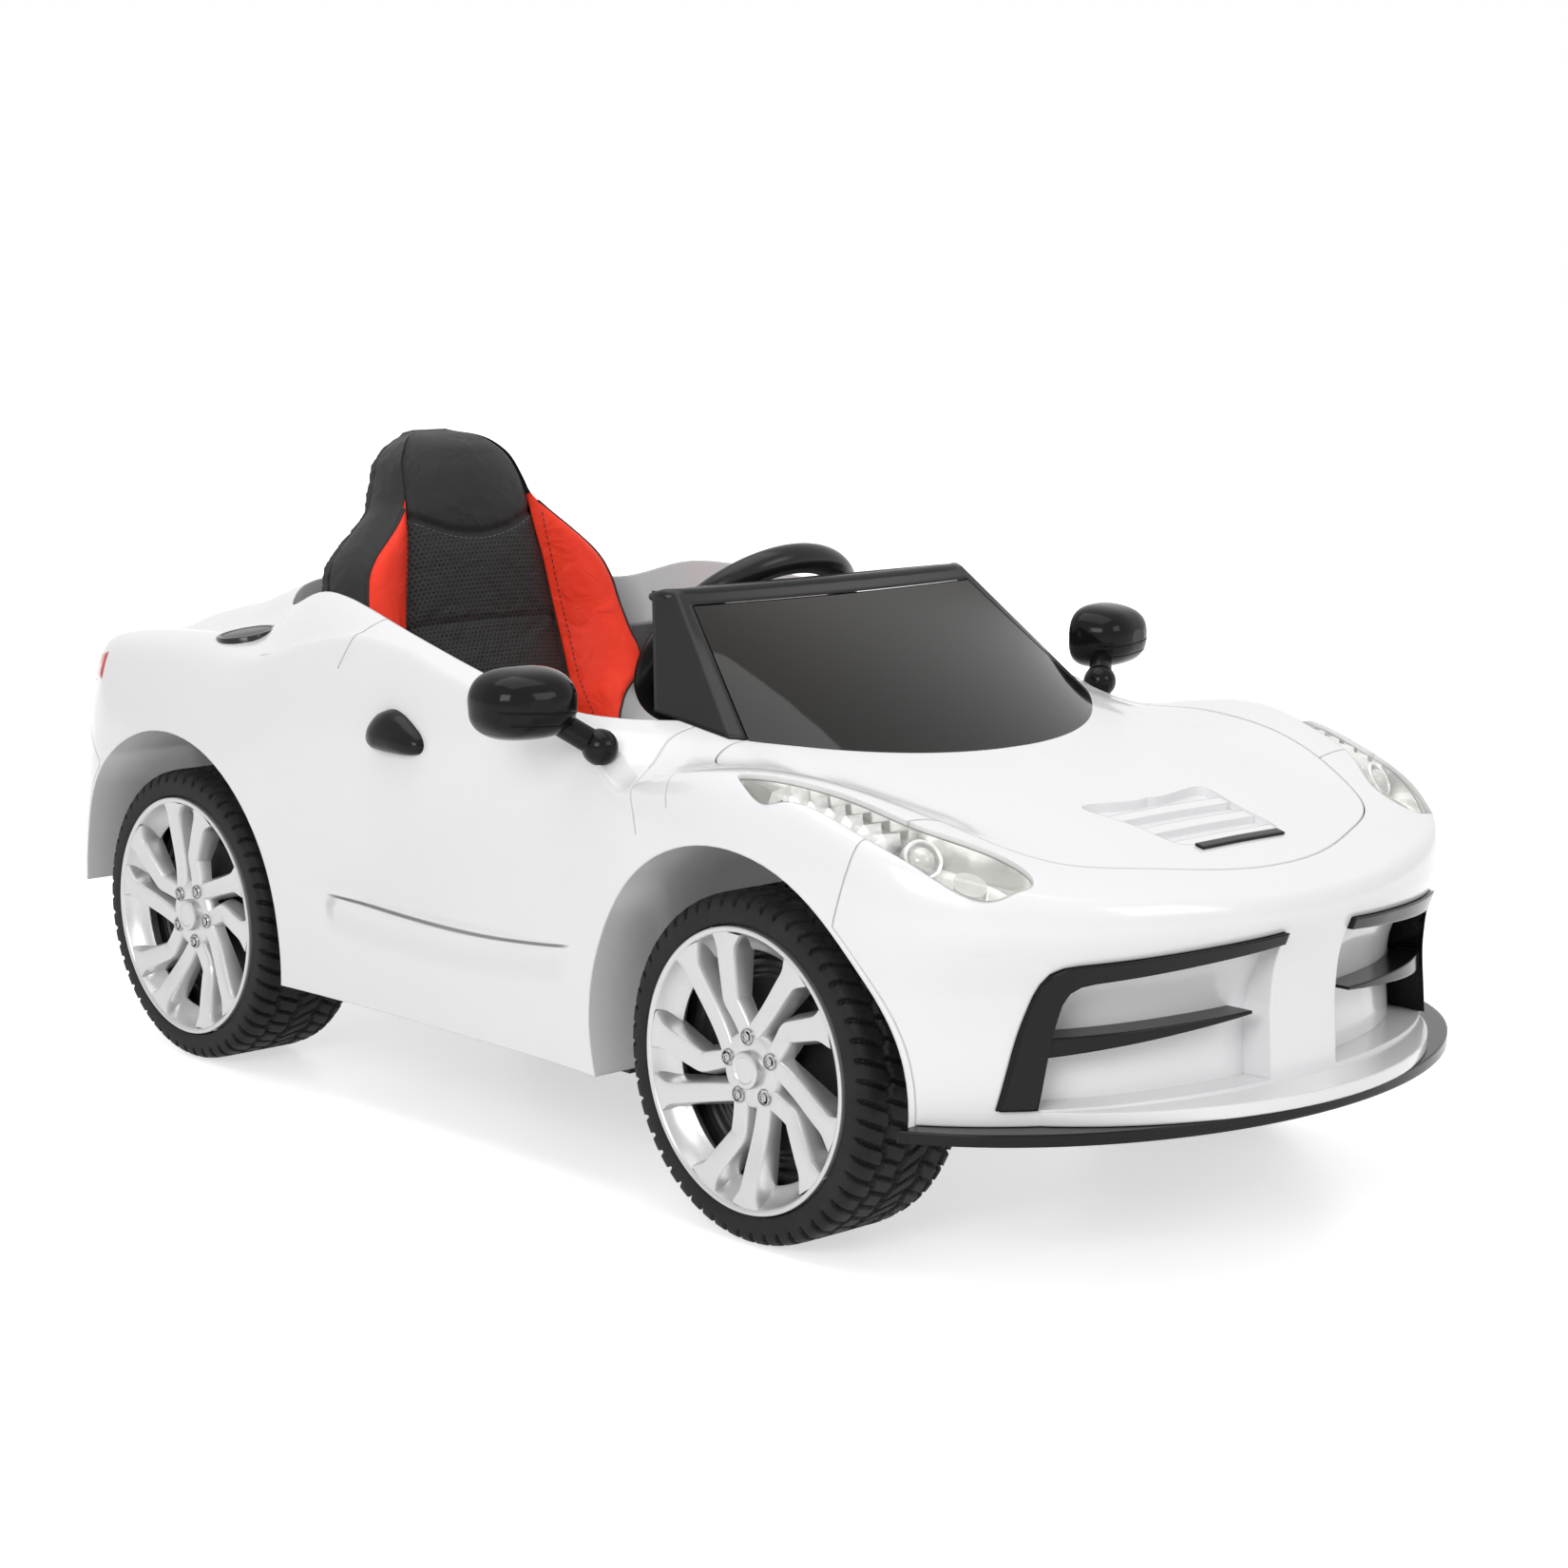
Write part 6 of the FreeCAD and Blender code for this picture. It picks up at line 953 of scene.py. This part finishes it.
# Seat cushion: foam under black leatherette on the seat pan, crowned on top with a rounded front edge.
CUSHION_WIDTHS = [(0, 0.70), (0.10, 0.92), (0.3, 1.0), (0.8, 1.0), (0.95, 0.95), (1, 0.90)]
CUSHION_RISE = [(0, 0.35), (0.06, 0.8), (0.2, 0.97), (0.5, 1.0), (0.85, 0.95), (0.95, 0.75), (1, 0.30)]
low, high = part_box("seat_base_pad")
share = np.linspace(0, 1, 64)[:, None]
angle = np.linspace(0, 2 * np.pi, 96, endpoint=False)[None, :]
half = np.interp(share, *np.array(CUSHION_WIDTHS).T) * (high.y - low.y) / 2 * 0.985
tall = np.interp(share, *np.array(CUSHION_RISE).T) * (high.z - low.z)
across = np.sign(np.cos(angle)) * np.abs(np.cos(angle)) ** 0.55
upper, lower = 0.25 + 0.75 * np.abs(np.sin(angle)) ** 0.7, 0.25 - 0.24 * np.abs(np.sin(angle)) ** 0.4
level = np.where(np.sin(angle) > 0, upper, lower)
rise = tall * level - 2.2 * MILLIMETRE * bell(np.abs(across) - 0.72, 0.03) * (level > 0.4)
reach = low.x + (high.x - low.x) * share + 0 * angle
loops = np.stack([reach, half * across, low.z + rise + 0 * reach], -1)
ends = [np.repeat(loops[row].mean(0)[None, None], 96, 1) for row in (0, -1)]
patches = [(np.concatenate([ends[0], loops, ends[1]]), False, True, 0)]
cushion = piece("seat_cushion", patches, [seat_black], "car", sharp=180.0)
puff(cushion, lambda points: points[:, 2] < low.z + 0.014, 3.0, 0.003)
soften(cushion)
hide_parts("seat_base_pad")


# Studio: a white floor that keeps the car's shadow and a faint reflection, soft light from above and the
# right, and the camera at the photograph's place.
FLOOR_HALF = 30
FLOOR_WHITE = (0.86, 0.86, 0.86, 1)
CAMERA_PLACE = (1.8869, -1.6519, 0.6612)
CAMERA_AZIMUTH, CAMERA_ELEVATION = math.radians(47.654), math.radians(9.397)
CAMERA_LENS, CAMERA_SENSOR = 74.38, 36.0


def seen_rays(place):
    """1 on camera rays, and on the glossy and transmission rays that show the studio in shiny pieces."""
    kinds = ("Is Camera Ray", "Is Glossy Ray", "Is Transmission Ray")
    camera_ray, glossy, through = (place.node("LightPath", output=kind) for kind in kinds)
    return camera_ray + glossy + through


floor_mesh = bpy.data.meshes.new("studio_floor")
corners = [(-FLOOR_HALF, -FLOOR_HALF, 0), (FLOOR_HALF, -FLOOR_HALF, 0), (FLOOR_HALF, FLOOR_HALF, 0),
           (-FLOOR_HALF, FLOOR_HALF, 0)]
floor_mesh.from_pydata(corners, [], [(0, 1, 2, 3)])
studio_floor = bpy.data.objects.new("studio_floor", floor_mesh)
bpy.context.scene.collection.objects.link(studio_floor)
floor_white, place, shader = new_finish("floor_white", Base_Color=FLOOR_WHITE, Roughness=0.35, IOR=1.3)
level = place.node("VectorMath", {0: place}, output="Value", operation="LENGTH").rise(0.7, 2.6)
glow = (0.60 + 0.20 * level) * seen_rays(place)
lift = place.node("Emission", {"Color": (1, 1, 1, 1), "Strength": glow})
floor_mix = place.node("AddShader", {1: lift})
place.tree.links.new(shader.outputs[0], floor_mix.socket.node.inputs[0])
place.tree.links.new(floor_mix.socket, place.tree.nodes["Material Output"].inputs[0])
floor_mesh.materials.append(floor_white)

world = bpy.data.worlds.new("studio")
bpy.context.scene.world = world
world.use_nodes = True
room = Finish(world.node_tree)
seen = seen_rays(room).rise(0.0, 1.0)
back = world.node_tree.nodes["Background"]
back.inputs[0].default_value = (1, 1, 1, 1)
(0.52 + 0.48 * seen).feed(back, "Strength")


def softbox(name, place, target, size, power):
    """A square light at a place, turned to a target."""
    lamp = bpy.data.lights.new(name, "AREA")
    lamp.shape = "RECTANGLE"
    lamp.size, lamp.size_y = size
    lamp.energy = power
    made = bpy.data.objects.new(name, lamp)
    made.location = place
    made.rotation_mode = "QUATERNION"
    made.rotation_quaternion = (Vector(target) - Vector(place)).to_track_quat("-Z", "Y")
    bpy.context.scene.collection.objects.link(made)


softbox("softbox_top", (0.0, -0.2, 2.6), (0, 0, 0.2), (2.4, 1.8), 23.0)
softbox("softbox_side", (1.5, -2.5, 1.5), (0, 0, 0.2), (1.4, 1.0), 30.0)
softbox("softbox_front", (2.8, 0.6, 1.6), (0.2, 0, 0.2), (1.2, 1.0), 13.0)

camera = bpy.data.objects.new("camera", bpy.data.cameras.new("camera"))
bpy.context.scene.collection.objects.link(camera)
level_reach, rise = math.cos(CAMERA_ELEVATION), math.sin(CAMERA_ELEVATION)
backward = Vector((math.sin(CAMERA_AZIMUTH) * level_reach, -math.cos(CAMERA_AZIMUTH) * level_reach, rise))
camera.location = CAMERA_PLACE
camera.rotation_mode = "QUATERNION"
camera.rotation_quaternion = (-backward).to_track_quat("-Z", "Y")
camera.data.sensor_width = CAMERA_SENSOR
camera.data.lens = CAMERA_LENS
bpy.context.scene.camera = camera
bpy.context.scene.view_settings.view_transform = "Standard"

bpy.context.view_layer.update()
